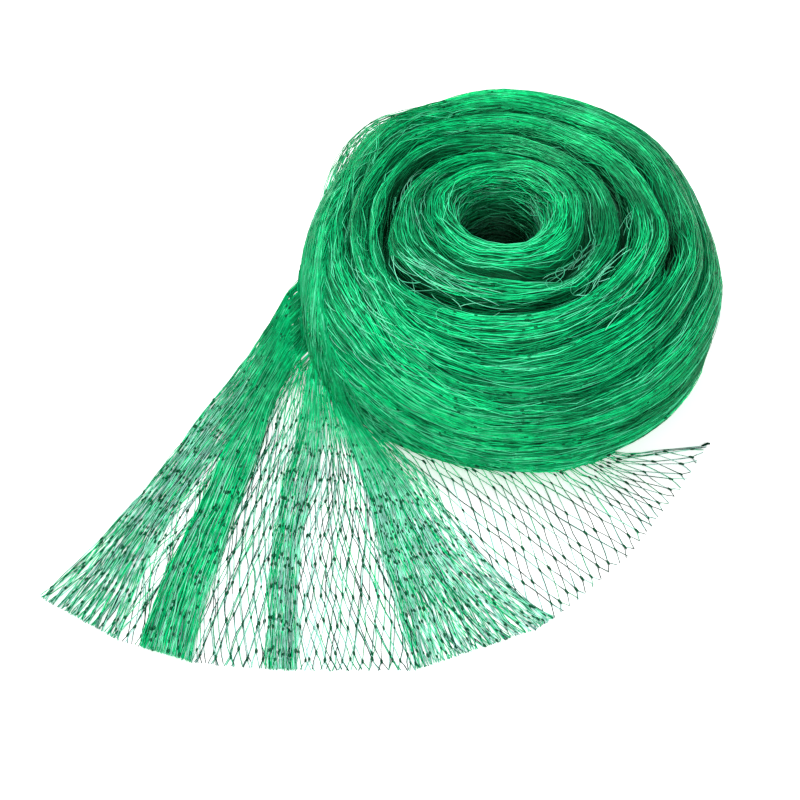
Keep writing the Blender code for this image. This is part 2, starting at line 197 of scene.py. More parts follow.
def build_tables():
    nodes = np.zeros((len(TURNS), 9))
    place = np.zeros((len(TURNS), len(RUNS), 3))
    depth = np.zeros((len(TURNS), len(RUNS)))
    for i, t in enumerate(TURNS):
        azimuth = t + math.radians(CUT)
        r, z, v = skin_section(azimuth)
        # at the end of the turn the grooves are the next ones of the first row
        at, deep = grooves_at(CUT + min(math.degrees(t), 359.999), v[-1])
        nodes[i] = [v[0], 0.0, *at, v[-1]]
        runs = np.clip(RUNS, v[0], v[-1])
        rr, zz = np.interp(runs, v, r), np.interp(runs, v, z)
        step = 0.0008
        dr = np.interp(runs + step, v, r) - np.interp(runs - step, v, r)
        dz = np.interp(runs + step, v, z) - np.interp(runs - step, v, z)
        n = np.maximum(np.hypot(dr, dz), 1e-9)
        out_r, out_z = -dz / n, dr / n
        cut = np.zeros_like(runs)
        for k in range(len(at)):
            gape = 0.0
            for groove, centre, wide, by in GAPES:
                gape += by * math.exp(-(((math.degrees(azimuth) - centre + 180.0) % 360.0 - 180.0) / wide) ** 2) * (groove == k)
            d = (runs - at[k]) / (GROOVE_WIDTHS[k] / 1000 * NARROWER * (1 + gape))
            cut = np.maximum(cut, DEEPER * deep[k] * np.exp(-np.abs(d) ** (1.7 + 0.7 * min(gape, 1.5))))
        # a crease of its own in the innermost turn, on the left
        far = (math.degrees(azimuth) - 192.0 + 180.0) % 360.0 - 180.0
        cut = np.maximum(cut, 0.0032 * math.exp(-(far / 24.0) ** 2) * np.exp(-np.abs((runs - (0.0048 + 0.00013 * far)) / 0.0015) ** 1.7))
        free = np.clip((v[-1] - runs) / 0.030, 0, 1) * np.clip((runs + 0.012) / 0.012, 0, 1)
        free = free * free * (3 - 2 * free)
        # smaller ropes inside each turn
        w = np.interp(runs, nodes[i], np.arange(-1, 8))
        rope = ropes(w, np.full_like(w, t))
        bold = 0.0010 - 0.0005 * np.clip(w - 3.0, 0, 1)
        off = (unevenness(azimuth, runs) - cut + bold * rope * np.clip(1 - cut / 0.006, 0.2, 1)) * free
        off += 0.0012 * rope * (runs < 0) * np.clip(-runs / 0.02, 0, 1)
        rr, zz = rr + out_r * off, zz + out_z * off
        place[i, :, 0] = HOLE_SHIFT[0] + rr * math.cos(azimuth) + CENTRE[0]
        place[i, :, 1] = HOLE_SHIFT[1] + rr * math.sin(azimuth) + CENTRE[1]
        place[i, :, 2] = zz
        depth[i] = cut * free
    return nodes, place, depth


def unwrapped(w, turn):
    """Angle along the whole winding, and the way across the bundle in mm."""
    n = np.clip(np.floor(w), -1, 6).astype(int)
    across = (w - n) * np.array(BAND_MM)[n + 1] + 61.7 * (n < 1) * n
    return turn + 2 * math.pi * np.maximum(n - 1, 0), across, n


def ropes(w, turn):
    s, x, n = unwrapped(w, turn)
    spiral = (lattice(x / 5.5, s * 1.1, 11) + 0.55 * lattice(x / 2.6 + 7, s * 1.9, 12)
              + 0.35 * lattice(x / 12.0 + 3, s * 0.8, 13))
    closed = (lattice(x / 4.5, s / (2 * math.pi) * 7, 14, 7) + 0.55 * lattice(x / 2.2 + 7, s / (2 * math.pi) * 11, 15, 11))
    return np.where(n >= 1, spiral, closed)


NODES, PLACE, DEPTH = build_tables()
# the surface's normal, from the table itself
du = np.gradient(PLACE, axis=1)
dv = np.gradient(PLACE, axis=0)
NORMAL = np.cross(du, dv)
size = np.linalg.norm(NORMAL, axis=2, keepdims=True)
NORMAL = np.where(size > 1e-12, NORMAL / np.maximum(size, 1e-12), 0)
if NORMAL[:, int((0.05 + 0.112) / RUN_STEP), 2].mean() < 0:
    NORMAL = -NORMAL


def run_at(w, turn):
    """Run for a place w, by the angle from the cut."""
    t = np.clip(turn / (2 * math.pi) * 180, 0, 180 - 1e-6)
    i = t.astype(int)
    f = t - i
    k = np.clip(np.floor(w).astype(int) + 1, 0, 7)
    g = w + 1 - k
    low = NODES[i, k] * (1 - f) + NODES[i + 1, k] * f
    high = NODES[i, k + 1] * (1 - f) + NODES[i + 1, k + 1] * f
    return low + (high - low) * g


def skin(run, turn):
    """Place, outward direction and groove depth on the grooved skin."""
    t = np.clip(turn / (2 * math.pi) * 180, 0, 180 - 1e-6)
    i = t.astype(int)
    f = (t - i)[..., None]
    u = np.clip((run - RUNS[0]) / RUN_STEP, 0, len(RUNS) - 1.001)
    j = u.astype(int)
    g = (u - j)[..., None]
    mix = lambda a: ((a[i, j] * (1 - g) + a[i, j + 1] * g) * (1 - f)
                     + (a[i + 1, j] * (1 - g) + a[i + 1, j + 1] * g) * f)
    n = mix(NORMAL)
    return mix(PLACE), n / np.maximum(np.linalg.norm(n, axis=-1, keepdims=True), 1e-9), mix(DEPTH[..., None])[..., 0]


# ---------------------------------------------------------------- tubes
class Tubes:
    """Collects many thin closed tubes and makes one mesh of them, with a tint for each point and a map on
    which each tube has a cell of its own."""

    def __init__(self, sides=3):
        self.sides, self.items = sides, []

    def add(self, points, radius, tint):
        points = np.asarray(points, float)
        n = len(points)
        self.items.append((points, np.broadcast_to(radius, n).astype(float), np.broadcast_to(tint, (n, 3)).astype(float)))

    def count(self):
        return sum((len(p) - 1) * self.sides * 2 + 2 * (self.sides - 2) for p, _, _ in self.items)

    def build(self, name, material, smooth=True):
        k = self.sides
        total = len(self.items)
        columns = max(1, int(round(math.sqrt(total / 6.0))))
        rows = math.ceil(total / columns)
        verts, tints, faces_v, faces_n, uvs = [], [], [], [], []
        base = 0
        angles = 2 * math.pi * np.arange(k) / k
        side_v = (np.arange(k) + 0.5) / k * 0.76 + 0.12
        for c, (p, rad, tint) in enumerate(self.items):
            m = len(p)
            tangent = np.gradient(p, axis=0)
            tangent /= np.maximum(np.linalg.norm(tangent, axis=1, keepdims=True), 1e-12)
            up = np.array([0.13, 0.21, 0.97]) if abs(tangent[:, 2]).mean() < 0.8 else np.array([0.9, 0.3, 0.1])
            side = np.cross(tangent, up)
            side /= np.maximum(np.linalg.norm(side, axis=1, keepdims=True), 1e-9)
            over = np.cross(side, tangent)
            ring = (p[:, None, :] + rad[:, None, None] * (side[:, None, :] * np.cos(angles)[None, :, None]
                                                         + over[:, None, :] * np.sin(angles)[None, :, None]))
            verts.append(ring.reshape(-1, 3))
            tints.append(np.repeat(tint, k, axis=0))
            i = np.arange(m - 1)[:, None]
            j = np.arange(k)[None, :]
            jn = (j + 1) % k
            quad = np.stack([i * k + j, (i + 1) * k + j, (i + 1) * k + jn, i * k + jn], axis=2).reshape(-1, 4) + base
            faces_v.append(quad.ravel())
            faces_n.append(np.full(len(quad), 4))
            x0, y0 = (c % columns) / columns, (c // columns) / rows
            u = x0 + (0.03 + 0.94 * np.arange(m) / (m - 1)) / columns
            v = y0 + side_v / rows
            grid = np.stack([np.repeat(u, k), np.tile(v, m)], axis=1)
            uvs.append(grid[quad.ravel() - base])
            cap0 = np.arange(k) + base
            cap1 = (np.arange(k)[::-1] + (m - 1) * k) + base
            faces_v += [cap0, cap1]
            faces_n.append(np.array([k, k]))
            wide = 0.02 / columns
            e0 = grid[cap0 - base] + np.stack([np.where(np.arange(k) == 1, wide, 0), np.zeros(k)], 1)
            e1 = grid[cap1 - base] - np.stack([np.where(np.arange(k) == 1, wide, 0), np.zeros(k)], 1)
            uvs += [e0, e1]
            base += m * k
        verts, tints = np.concatenate(verts), np.concatenate(tints)
        loops, counts, uv = np.concatenate(faces_v), np.concatenate(faces_n), np.concatenate(uvs)
        mesh = bpy.data.meshes.new(name)
        mesh.vertices.add(len(verts))
        mesh.vertices.foreach_set("co", verts.astype(np.float32).ravel())
        mesh.loops.add(len(loops))
        mesh.loops.foreach_set("vertex_index", loops.astype(np.int32))
        mesh.polygons.add(len(counts))
        mesh.polygons.foreach_set("loop_start", np.concatenate([[0], np.cumsum(counts)[:-1]]).astype(np.int32))
        mesh.polygons.foreach_set("loop_total", counts.astype(np.int32))
        mesh.update(calc_edges=True)
        layer = mesh.uv_layers.new(name="OFBake")
        layer.uv.foreach_set("vector", uv.astype(np.float32).ravel())
        tint = mesh.attributes.new("tint", "FLOAT_COLOR", "POINT")
        tint.data.foreach_set("color", np.concatenate([tints, np.ones((len(tints), 1))], 1).astype(np.float32).ravel())
        if smooth:
            mesh.polygons.foreach_set("use_smooth", np.ones(len(counts), bool))
        mesh.materials.append(material)
        obj = bpy.data.objects.new(name, mesh)
        bpy.context.scene.collection.objects.link(obj)
        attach(obj, "root")
        return obj


# ---------------------------------------------------------------- materials
GREEN_SHINE = (0.22, 1.0, 0.52, 1.0)


def principled(name, roughness, specular=0.5, tint=GREEN_SHINE):
    m = bpy.data.materials.new(name)
    m.use_nodes = True
    shader = m.node_tree.nodes["Principled BSDF"]
    shader.inputs["Roughness"].default_value = roughness
    shader.inputs["Specular IOR Level"].default_value = specular
    shader.inputs["Specular Tint"].default_value = tint
    return m, m.node_tree.nodes, m.node_tree.links, shader


def strand_material(name, roughness=0.32, mottle=0.25, specular=0.5):
    """Extruded nylon: each strand's own tint, paler and darker along it as it was drawn out."""
    m, nodes, links, shader = principled(name, roughness, specular)
    tint = nodes.new("ShaderNodeAttribute")
    tint.attribute_name = "tint"
    where = nodes.new("ShaderNodeTexCoord")
    noise = nodes.new("ShaderNodeTexNoise")
    noise.inputs["Scale"].default_value = 160.0
    noise.inputs["Detail"].default_value = 2.0
    ramp = nodes.new("ShaderNodeMapRange")
    ramp.inputs["From Min"].default_value, ramp.inputs["From Max"].default_value = 0.3, 0.7
    ramp.inputs["To Min"].default_value, ramp.inputs["To Max"].default_value = 1 - mottle, 1 + mottle
    times = nodes.new("ShaderNodeVectorMath")
    times.operation = "SCALE"
    links.new(where.outputs["Object"], noise.inputs["Vector"])
    links.new(noise.outputs["Fac"], ramp.inputs["Value"])
    links.new(tint.outputs["Color"], times.inputs[0])
    links.new(ramp.outputs["Result"], times.inputs["Scale"])
    links.new(times.outputs["Vector"], shader.inputs["Base Color"])
    return m


def core_material():
    """The strands under the top ones: streaks along the winding, drawn on the core's own map (u along the
    turn, v across it), times a painted shade that is darker in the grooves and down the hole."""
    m, nodes, links, shader = principled("net_depth", 0.45, 0.4)
    where = nodes.new("ShaderNodeUVMap")
    where.uv_map = "OFBake"
    stretch = nodes.new("ShaderNodeMapping")
    stretch.inputs["Scale"].default_value = (26.0, 420.0, 1.0)
    noise = nodes.new("ShaderNodeTexNoise")
    noise.inputs["Scale"].default_value = 1.0
    noise.inputs["Detail"].default_value = 4.0
    noise.inputs["Roughness"].default_value = 0.65
    ramp = nodes.new("ShaderNodeValToRGB")
    ramp.color_ramp.elements[0].position, ramp.color_ramp.elements[0].color = 0.34, (0.000, 0.022, 0.006, 1)
    ramp.color_ramp.elements[1].position, ramp.color_ramp.elements[1].color = 0.70, (0.001, 0.300, 0.095, 1)
    # painted shade, from the core's own attribute: darker in the grooves and down the hole
    painted_shade = nodes.new("ShaderNodeAttribute")
    painted_shade.attribute_name = "painted_shade"
    times = nodes.new("ShaderNodeVectorMath")
    times.operation = "SCALE"
    bump = nodes.new("ShaderNodeBump")
    bump.inputs["Strength"].default_value, bump.inputs["Distance"].default_value = 0.7, 0.0005
    links.new(where.outputs["UV"], stretch.inputs["Vector"])
    links.new(stretch.outputs["Vector"], noise.inputs["Vector"])
    links.new(noise.outputs["Fac"], ramp.inputs["Fac"])
    links.new(ramp.outputs["Color"], times.inputs[0])
    links.new(painted_shade.outputs["Fac"], times.inputs["Scale"])
    links.new(times.outputs["Vector"], shader.inputs["Base Color"])
    links.new(noise.outputs["Fac"], bump.inputs["Height"])
    links.new(bump.outputs["Normal"], shader.inputs["Normal"])
    return m


BRIGHT = np.array([0.006, 0.800, 0.290])
MIDDLE = np.array([0.002, 0.470, 0.155])
DARK = np.array([0.000, 0.110, 0.040])
# the pale colour of painted highlights
PALE_HIGHLIGHT = np.array([0.120, 0.930, 0.500])
KNOT = np.array([0.000, 0.045, 0.018])
# a paler mint, for painted highlights
PALE_MINT_HIGHLIGHT = np.array([0.500, 0.950, 0.780])

wound = strand_material("wound_strand")
spread = strand_material("spread_strand", roughness=0.45, specular=0.08)
knotted = strand_material("knot", roughness=0.4)
depths = core_material()


# ---------------------------------------------------------------- the wound roll
def build_core():
    """Grooved skin just under the strands."""
    cols = 180
    steps = np.concatenate([np.linspace(-1, 0, 26)[:-1], np.linspace(0, 1, 12)[:-1]]
                           + [k + np.linspace(0, 1, n)[:-1] for k, n in ((1, 26), (2, 26), (3, 30), (4, 30), (5, 28))]
                           + [6 + np.linspace(0, 1, 26)])
    turn = TURNS[:-1]
    # closed lines: near the cut the spiral's w is slid so that each line meets itself
    w = np.broadcast_to(steps[None, :], (cols, len(steps))).copy()
    run = run_at(w, np.broadcast_to(turn[:, None], w.shape))
    first, last = run_at(steps, np.zeros(len(steps))), run_at(steps, np.full(len(steps), 2 * math.pi))
    d = np.degrees(turn)[:, None]
    fade = lambda x: 0.5 + 0.5 * np.cos(np.pi * np.minimum(1.0, x / 60.0))
    run = run + (last - first)[None, :] / 2 * (fade(d) - fade(360.0 - d))
    run = np.maximum.accumulate(run + np.arange(len(steps)) * 1e-5, axis=1)
    p, n, cut = skin(run, np.broadcast_to(turn[:, None], run.shape))
    sink = 0.0016 + 0.0004 * lattice(np.arange(len(steps))[None, :] * 0.9, np.arange(cols)[:, None] * 0.35, 21)
    p = p - n * sink[..., None]
    p[..., 2] = np.maximum(p[..., 2], 0.0002)
    m = len(steps)
    verts = p.reshape(-1, 3)
    i, j = np.meshgrid(np.arange(cols), np.arange(m), indexing="ij")
    k = (i + 1) % cols
    jn = (j + 1) % m
    faces = np.stack([i * m + j, k * m + j, k * m + jn, i * m + jn], axis=2).reshape(-1, 4)
    u = np.stack([i / cols, (i + 1) / cols, (i + 1) / cols, i / cols], axis=2)
    high = np.where(j + 1 < m, (j + 1) / m, (j + 0.9) / m)
    v = np.stack([j / m, j / m, high, high], axis=2)
    uv = np.stack([u, v], axis=3).reshape(-1, 2) * 0.998 + 0.001
    mesh = bpy.data.meshes.new("roll_core")
    mesh.from_pydata(verts.tolist(), [], faces.tolist())
    layer = mesh.uv_layers.new(name="OFBake")
    layer.uv.foreach_set("vector", uv.astype(np.float32).ravel())
    # painted shade: darker in the grooves by their depth, and darker down the hole
    painted_shade = 1.0 - 0.85 * np.clip(cut / 0.008, 0, 1)
    painted_shade *= np.clip(1 + run / 0.045, 0.04, 1)   # darker down the hole
    layer = mesh.attributes.new("painted_shade", "FLOAT", "POINT")
    layer.data.foreach_set("value", painted_shade.reshape(-1).astype(np.float32))
    mesh.polygons.foreach_set("use_smooth", np.ones(len(faces), bool))
    mesh.materials.append(depths)
    mesh.update()
    obj = bpy.data.objects.new("roll_core", mesh)
    bpy.context.scene.collection.objects.link(obj)
    import bmesh
    bm = bmesh.new()
    bm.from_mesh(mesh)
    if bm.calc_volume(signed=True) < 0:
        bmesh.ops.reverse_faces(bm, faces=bm.faces)
        bm.to_mesh(mesh)
    bm.free()
    return obj


core = build_core()
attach(core, "root")
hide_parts("net_roll")

rng = np.random.default_rng(2024)
PHASE = [rng.uniform(0, 40, 8) for _ in range(8)]     # knot rows, by layer and band


def wander(across_mm, s, seed):
    """How far the bundle's strands drift sideways together, in mm."""
    return (0.75 * lattice(across_mm / 6.0, s * 1.3, seed) + 1.3 * lattice(across_mm / 16.0, s * 0.9, seed + 1))


def bars(r, count, spread):
    """One random figure for each bar, for points that lie along a strand at `count` bars."""
    return spread * r.standard_normal(int(count.max()) + 2)[count]


def near_azimuth(turn, at, wide):
    return np.exp(-(((np.degrees(turn) + CUT - at + 180.0) % 360.0 - 180.0) / wide) ** 2)


def painted_azimuth_shading(turn, w):
    """Painted shade and light by azimuth: the outer turns darker left and right and lighter at the front, and the
    second turn darker on the left and a little lighter at the front.
    """
    outer, second = np.clip(w - 2.6, 0, 1), np.clip(1.4 - np.abs(w - 1.6), 0, 1)
    return (0.03 + (0.37 * near_azimuth(turn, 168.0, 44.0) + 0.25 * near_azimuth(turn, 345.0, 36.0)
                    - 0.22 * near_azimuth(turn, 242.0, 20.0)) * outer
            + (0.26 * near_azimuth(turn, 175.0, 60.0) - 0.06 * near_azimuth(turn, 262.0, 30.0)) * second)


def creases(w, turn):
    """Thin lines along which the bundle parts, the mask for the painted shade along them: 1 in them, 0 away from them.
    """
    s, x, n = unwrapped(w, turn)
    line = np.where(n >= 1, lattice(x / 4.4, s * 0.9, 16), lattice(x / 3.8, s / (2 * math.pi) * 6, 17, 6))
    return np.exp(-(line / 0.13) ** 2)


def roll_layer(tubes, knots, layer, lift, pitch, radius, bright, share, knots_on, stray, pale, open_by, uneven):
    """One layer of strands over the whole skin. `lift` is in mm over the skin, `pitch` in mm, `open_by` is how
    far in mm the strands turn to each side at their knots."""
    for band in range(-1, 7):
        width, r = BAND_MM[band + 1], BAND_R[band + 1]
        count = max(3, int(round(width / pitch)))
        seg = 0.0075 if band < 1 else 0.010
        length = 2 * math.pi * r
        for k in range(count):
            if rng.random() > share:
                continue
            phi = (k + 0.5 + rng.uniform(-0.28, 0.28)) / count
            phi = min(max(phi, 0.02), 0.98)
            if band < 1:
                over = rng.uniform(0.05, 0.9)
                s0 = rng.uniform(0, 2 * math.pi)
                s = np.linspace(s0, s0 + 2 * math.pi + over, int((length + over * r) / seg) + 1)
                # wavy strands that climb and sink across the wall of the hole
                ramble = (0.035 if band == -1 else 0.04) * lattice(k * 1.3, s * 1.5, 50 + layer) * min(1.0, 0.4 + 0.4 * layer)
                turn = s % (2 * math.pi)
                w = np.clip(band + phi + ramble, band + 0.01, band + 0.99)
            else:
                a, b = rng.uniform(0.0, 0.7), rng.uniform(0.0, 0.7)
                s = np.linspace(2 * math.pi * (band - 1) - a, 2 * math.pi * band + b,
                                int((length + (a + b) * r) / seg) + 1)
                s = s[(s > 0.02) & (s < 12 * math.pi - 0.02)]
                n = np.floor(s / (2 * math.pi)).astype(int)
                turn = s - 2 * math.pi * n
                w = n + 1 + phi
            run = run_at(w, turn)
            metres = s * r * 1000.0                     # way along, mm
            sway = wander(phi * width + 50 * band, s if band > 0 else 0 * s, 30 + 2 * layer)
            # at the front the strands lie loose and catch the light one by one, at the back they lie sleek; at the
            # front more bars also get the painted pale highlight
            lively = 0.30 + 0.70 * near_azimuth(turn, 258.0, 75.0) if band > -1 else np.ones(len(s))
            sway = sway + stray * (0.4 + 0.6 * lively) * lattice(k * 3.7 + 11 * band, s * 2.4, 60 + layer)
            parity = (k % 2) * 20.0
            row = metres + PHASE[layer % 8][band + 1] + 5.0 * lattice(phi * width / 9.0, s * 1.5, 80 + layer) + parity
            row = row + (0 if with_rows(layer) else rng.uniform(0, 40))
            zig = 2 * np.abs((row / 40.0) % 1.0 * 2 - 1) - 1        # -1 to 1, meeting a neighbour each way
            bar = np.floor((row - row.min()) / 20.0).astype(int)
            local = np.abs(run_at(np.minimum(w + 0.02, np.floor(w) + 0.999), turn) - run_at(w - 0.019, turn)) / 0.039
            pitch_here = np.clip(local * 1000 / count, 0.25, 3.0)
            room = np.clip(pitch_here / 1.0, 0.25, 1.0)
            side = (sway * room + zig * np.maximum(0.46 * pitch_here, open_by * (0.4 + 0.6 * lively) * room)) / 1000
            ends = np.minimum(np.arange(len(s)), np.arange(len(s))[::-1]) * seg
            dive = np.clip(1 - ends / 0.035, 0, 1) ** 1.5
            run_to = run + side
            p, nrm, cut = skin(run_to, turn)
            rise = (lift + 0.30 * lattice(k * 2.3 + 5, s * 2.3, 90 + layer)
                    + (0.22 * rng.standard_normal() + 0.18 * rng.standard_normal(len(s))) * (0.3 + 0.7 * lively))
            rise = rise - dive * (lift + 2.4)
            p = p + nrm * rise[:, None] / 1000
            p[:, 2] = np.maximum(p[:, 2], 0.0004)
            # the layer's brightness: the lower layers painted darker, as shade under the upper ones, the top ones
            # painted lighter
            tone = bright * (1 + uneven * rng.standard_normal() * (0.25 + 0.75 * lively))
            if band in (0, 1):
                # painted shade in the patch at the front of the second turn where the top strands have parted
                tone = tone * (1 - 0.45 * near_azimuth(turn, 236.0, 24.0) * np.clip((w - 1.15) / 0.3, 0, 1))
            tone = tone + bars(rng, bar, 0.21) * lively + 0.08 * lattice(phi * width / 5.0, s * 2.0, 110 + layer)
            # whole stretches of a turn lie denser and darker, or looser and lighter
            stretch = (lattice(phi * width / 9.0 + 20 * band, s * 1.7 if band > 0 else 0 * s, 120)
                       + 0.7 * lattice(phi * width / 3.4 + 20 * band, s * 2.6 if band > 0 else 0 * s, 121))
            at_w = w + side / np.maximum(local, 1e-5)
            at_w = np.clip(at_w, np.floor(w) + 0.001, np.floor(w) + 0.999)
            # painted light on the crests of the ropes and painted shade in the hollows between them
            crest = np.clip(ropes(at_w, turn), -1.3, 1.0)
            # random lighter or darker stretches, and painted shade and light by azimuth
            tone = tone * (1 + 0.20 * stretch - painted_azimuth_shading(turn, w)) * (1 + 0.16 * crest)
            # painted shade along the lines where the bundle parts, and the soft patches of painted light and shade
            tone = tone * (1 - (0.50 if band > -1 else 0.3) * creases(at_w, turn)) * lit(w, turn)
            tone = np.clip(tone, 0.12, 1.5)
            # painted shade: darker by the depth of the groove under the strand, and where its ends dive down under the
            # others
            tone = tone * (1 - 0.55 * np.clip(cut / 0.010, 0, 1) - 0.20 * np.clip(cut / 0.004 - 1.75, 0, 1)) * (1 - 0.25 * dive)
            # painted shade: darker down the hole
            if band == -1:
                tone = tone * 1.25 * (0.04 + 0.96 * np.clip(1 + run / 0.050, 0, 1) ** 1.2)
            colour = (MIDDLE[None] + (BRIGHT - MIDDLE)[None] * np.clip(tone - 0.35, 0, 1)[:, None]) * np.clip(tone, 0.04, 1.1)[:, None]
            if pale > 0:
                # now and then a bar gets a painted pale highlight, as where it lies so that it shines
                often = pale * lively * (1.5 if band == -1 else 1.0) * (1 + 1.2 * near_azimuth(turn, 236.0, 24.0) * np.clip(w - 2.6, 0, 1))
                shine = (rng.random(int(bar.max()) + 2)[bar] < often)[:, None] * np.clip(1 + np.minimum(run, 0) / 0.045, 0, 1)[:, None]
                colour = colour * (1 - 0.85 * shine) + PALE_HIGHLIGHT * 0.85 * shine
            tubes.add(p, radius * rng.uniform(0.85, 1.15), colour)
            if knots_on and band > 0:
                # knots sit where the strand turns back, on every other strand
                at = np.nonzero(np.abs(np.abs(zig) - 1) < seg * 1000 / 40)[0]
                if k % 2 == 0 and len(at) > 2:
                    at = at[(at > 4) & (at < len(s) - 5)]
                    knots += [(p[i], p[i + 1] - p[i - 1], nrm[i]) for i in at if zig[i] > 0]


def with_rows(layer):
    return layer in (2, 3)


# soft patches of painted light and shade on the winding
LIT = (
    # azimuth, how far to both sides, from and to w, how much
    (34.0, 46.0, 3.30, 5.00, -0.42), (28.0, 24.0, 2.30, 3.10, 0.36), (338.0, 12.0, 2.20, 3.00, 0.24), (341.0, 10.0, 3.00, 3.80, 0.22),
    (328.0, 22.0, 4.25, 5.40, -0.20), (182.0, 36.0, -0.40, 1.00, -0.28), (212.0, 14.0, -0.30, 0.60, -0.20), (250.0, 26.0, 1.40, 2.40, 0.10),
    (165.0, 30.0, 1.00, 2.60, -0.12), (309.0, 20.0, 0.72, 1.55, -0.62), (354.0, 24.0, 0.85, 2.00, -0.34), (273.0, 16.0, 4.00, 4.95, -0.28),
    (224.0, 13.0, 2.00, 3.80, -0.18), (76.0, 18.0, 2.90, 4.20, 0.24), (47.0, 11.0, -0.50, 0.20, 0.30), (248.0, 12.0, 2.75, 3.60, 0.20),
    (274.0, 14.0, 1.05, 1.80, -0.16), (272.0, 34.0, 0.00, 1.00, -0.12), (62.0, 14.0, 4.00, 5.20, -0.16), (338.0, 12.0, 4.40, 5.40, -0.18),
    (240.0, 16.0, 4.10, 5.60, 0.12), (340.0, 14.0, 0.35, 1.35, -0.26), (324.0, 10.0, 1.20, 1.95, -0.16), (336.0, 10.0, 2.50, 3.50, 0.24),
    (217.0, 13.0, 4.40, 5.60, 0.24), (344.0, 9.0, 4.40, 5.20, -0.20), (245.0, 16.0, 2.10, 3.30, 0.13),
    (90.0, 150.0, -1.50, -0.14, -0.46), (331.0, 12.0, 0.70, 1.70, -0.16),
)


def lit(w, turn):
    """Painted light and shade: soft patches where the winding as a whole is painted lighter or darker."""
    over = lambda low, high: np.clip((w - low) / 0.3, 0, 1) * np.clip((high - w) / 0.3, 0, 1)
    value = np.ones(len(w))
    for at, wide, low, high, by in LIT:
        value = value * (1 + by * near_azimuth(turn, at, wide) * over(low, high))
    return value


layers = [
    # lift, pitch, radius, brightness (painted shade on the lower layers, painted light on the top ones), share, knots,
    # stray, pale (share of bars with a painted highlight), open by, uneven
    (-1.10, 1.00, 0.00026, 0.38, 1.0, False, 0.9, 0.00, 0.5, 0.25),
    (-0.75, 0.95, 0.00024, 0.55, 1.0, False, 1.0, 0.00, 0.7, 0.25),
    (-0.40, 0.95, 0.00026, 0.80, 1.0, True, 1.1, 0.03, 0.9, 0.22),
    (0.00, 1.05, 0.00024, 0.95, 0.95, True, 1.0, 0.06, 1.1, 0.20),
    (0.40, 2.0, 0.00021, 1.06, 0.9, True, 1.4, 0.13, 1.3, 0.24),
    (0.75, 4.6, 0.00021, 1.20, 0.8, False, 2.0, 0.42, 1.6, 0.30),
]
roll_knots = []
pieces = []
for number, (lift, pitch, radius, bright, share, with_knots, *rest) in enumerate(layers):
    tubes = Tubes(3)
    roll_layer(tubes, roll_knots, number, lift, pitch, radius, bright, share, with_knots, *rest)
    obj = tubes.build("roll_strands_%d" % (number + 1), wound)
    pieces.append(obj)
    print("layer", number, "strands", len(tubes.items), "triangles", tubes.count())


def knot_tubes(knots, long, wide, tints, seed, sides=4, sizes=None):
    """Small knots: a lump a little longer than wide, along its strand."""
    r = np.random.default_rng(seed)
    tubes = Tubes(sides)
    for k, (p, along, up) in enumerate(knots):
        along = along / max(np.linalg.norm(along), 1e-9)
        size = r.uniform(0.8, 1.2) * (sizes[k] if sizes else 1.0)
        t = np.array([-0.5, -0.22, 0.22, 0.5]) * long * size
        rad = np.array([0.18, 0.5, 0.46, 0.16]) * wide * size
        colour = (tints[k] if isinstance(tints, list) else tints) * r.uniform(0.7, 1.3)
        tubes.add(p[None] + along[None] * t[:, None] + up[None] * 0.0001, rad, colour)
    return tubes


# at the back left the outermost turn hangs off the others as an open net
rng = np.random.default_rng(909)
loose, loose_knots = Tubes(3), []
LOOSE_FROM, LOOSE_TO, LOOSE_LINES = 92.0, 166.0, 21
for fold in range(3):
    for k in range(LOOSE_LINES):
        w = 3.75 + 2.35 * (k + 0.25 * fold + rng.uniform(-0.15, 0.15)) / LOOSE_LINES
        azimuth = np.linspace(LOOSE_FROM, LOOSE_TO, 58)
        turn = np.radians(azimuth - CUT)
        s = np.radians(azimuth) * 125.0                        # mm along
        row = s + 6.0 * fold + (k % 2) * 20.0 + 1.5 * lattice(k * 1.7, s / 30.0, 300 + fold)
        zig = 2 * np.abs((row / 40.0) % 1.0 * 2 - 1) - 1
        run = run_at(np.full(len(turn), w), turn) + (zig * 1.3 + 1.2 * lattice(k * 0.9, s / 22.0, 303 + fold)) / 1000
        p, nrm, cut = skin(run, turn)
        # it stands off most in the middle, and its ends go down between the strands
        bell = np.exp(-((azimuth - 137.5) / 14.5) ** 2) * np.clip((w - 3.6) / 0.6, 0, 1)
        ends = np.clip(np.minimum(azimuth - LOOSE_FROM, LOOSE_TO - azimuth) / 16.0, 0, 1)
        off = -2.4 * (1 - ends) + (0.6 + 0.5 * fold) * ends + (5.2 + 0.6 * fold) * bell + 0.5 * lattice(k * 2.1, s / 12.0, 306 + fold)
        p = p + nrm * off[:, None] / 1000
        bar = np.floor((row - row.min()) / 20.0).astype(int)
        # 18 % of the bars painted pale as highlights, the others a random green
        colour = np.array([PALE_HIGHLIGHT * rng.uniform(0.7, 1.0) if rng.random() < 0.18 else
                           (MIDDLE + (BRIGHT - MIDDLE) * rng.uniform(0, 0.8)) * rng.uniform(0.15, 0.90)
                           for _ in range(int(bar.max()) + 2)])[bar]
        loose.add(p, 0.00021 * rng.uniform(0.85, 1.15), colour)
        at = np.nonzero(zig > 0.93)[0]
        loose_knots += [(p[i], p[min(i + 1, len(p) - 1)] - p[max(i - 1, 0)], nrm[i]) for i in at[::2] if ends[i] > 0.6 and k % 2 == 0]
obj = loose.build("roll_loose_turn", wound)
print("loose turn", len(loose.items), "triangles", loose.count())

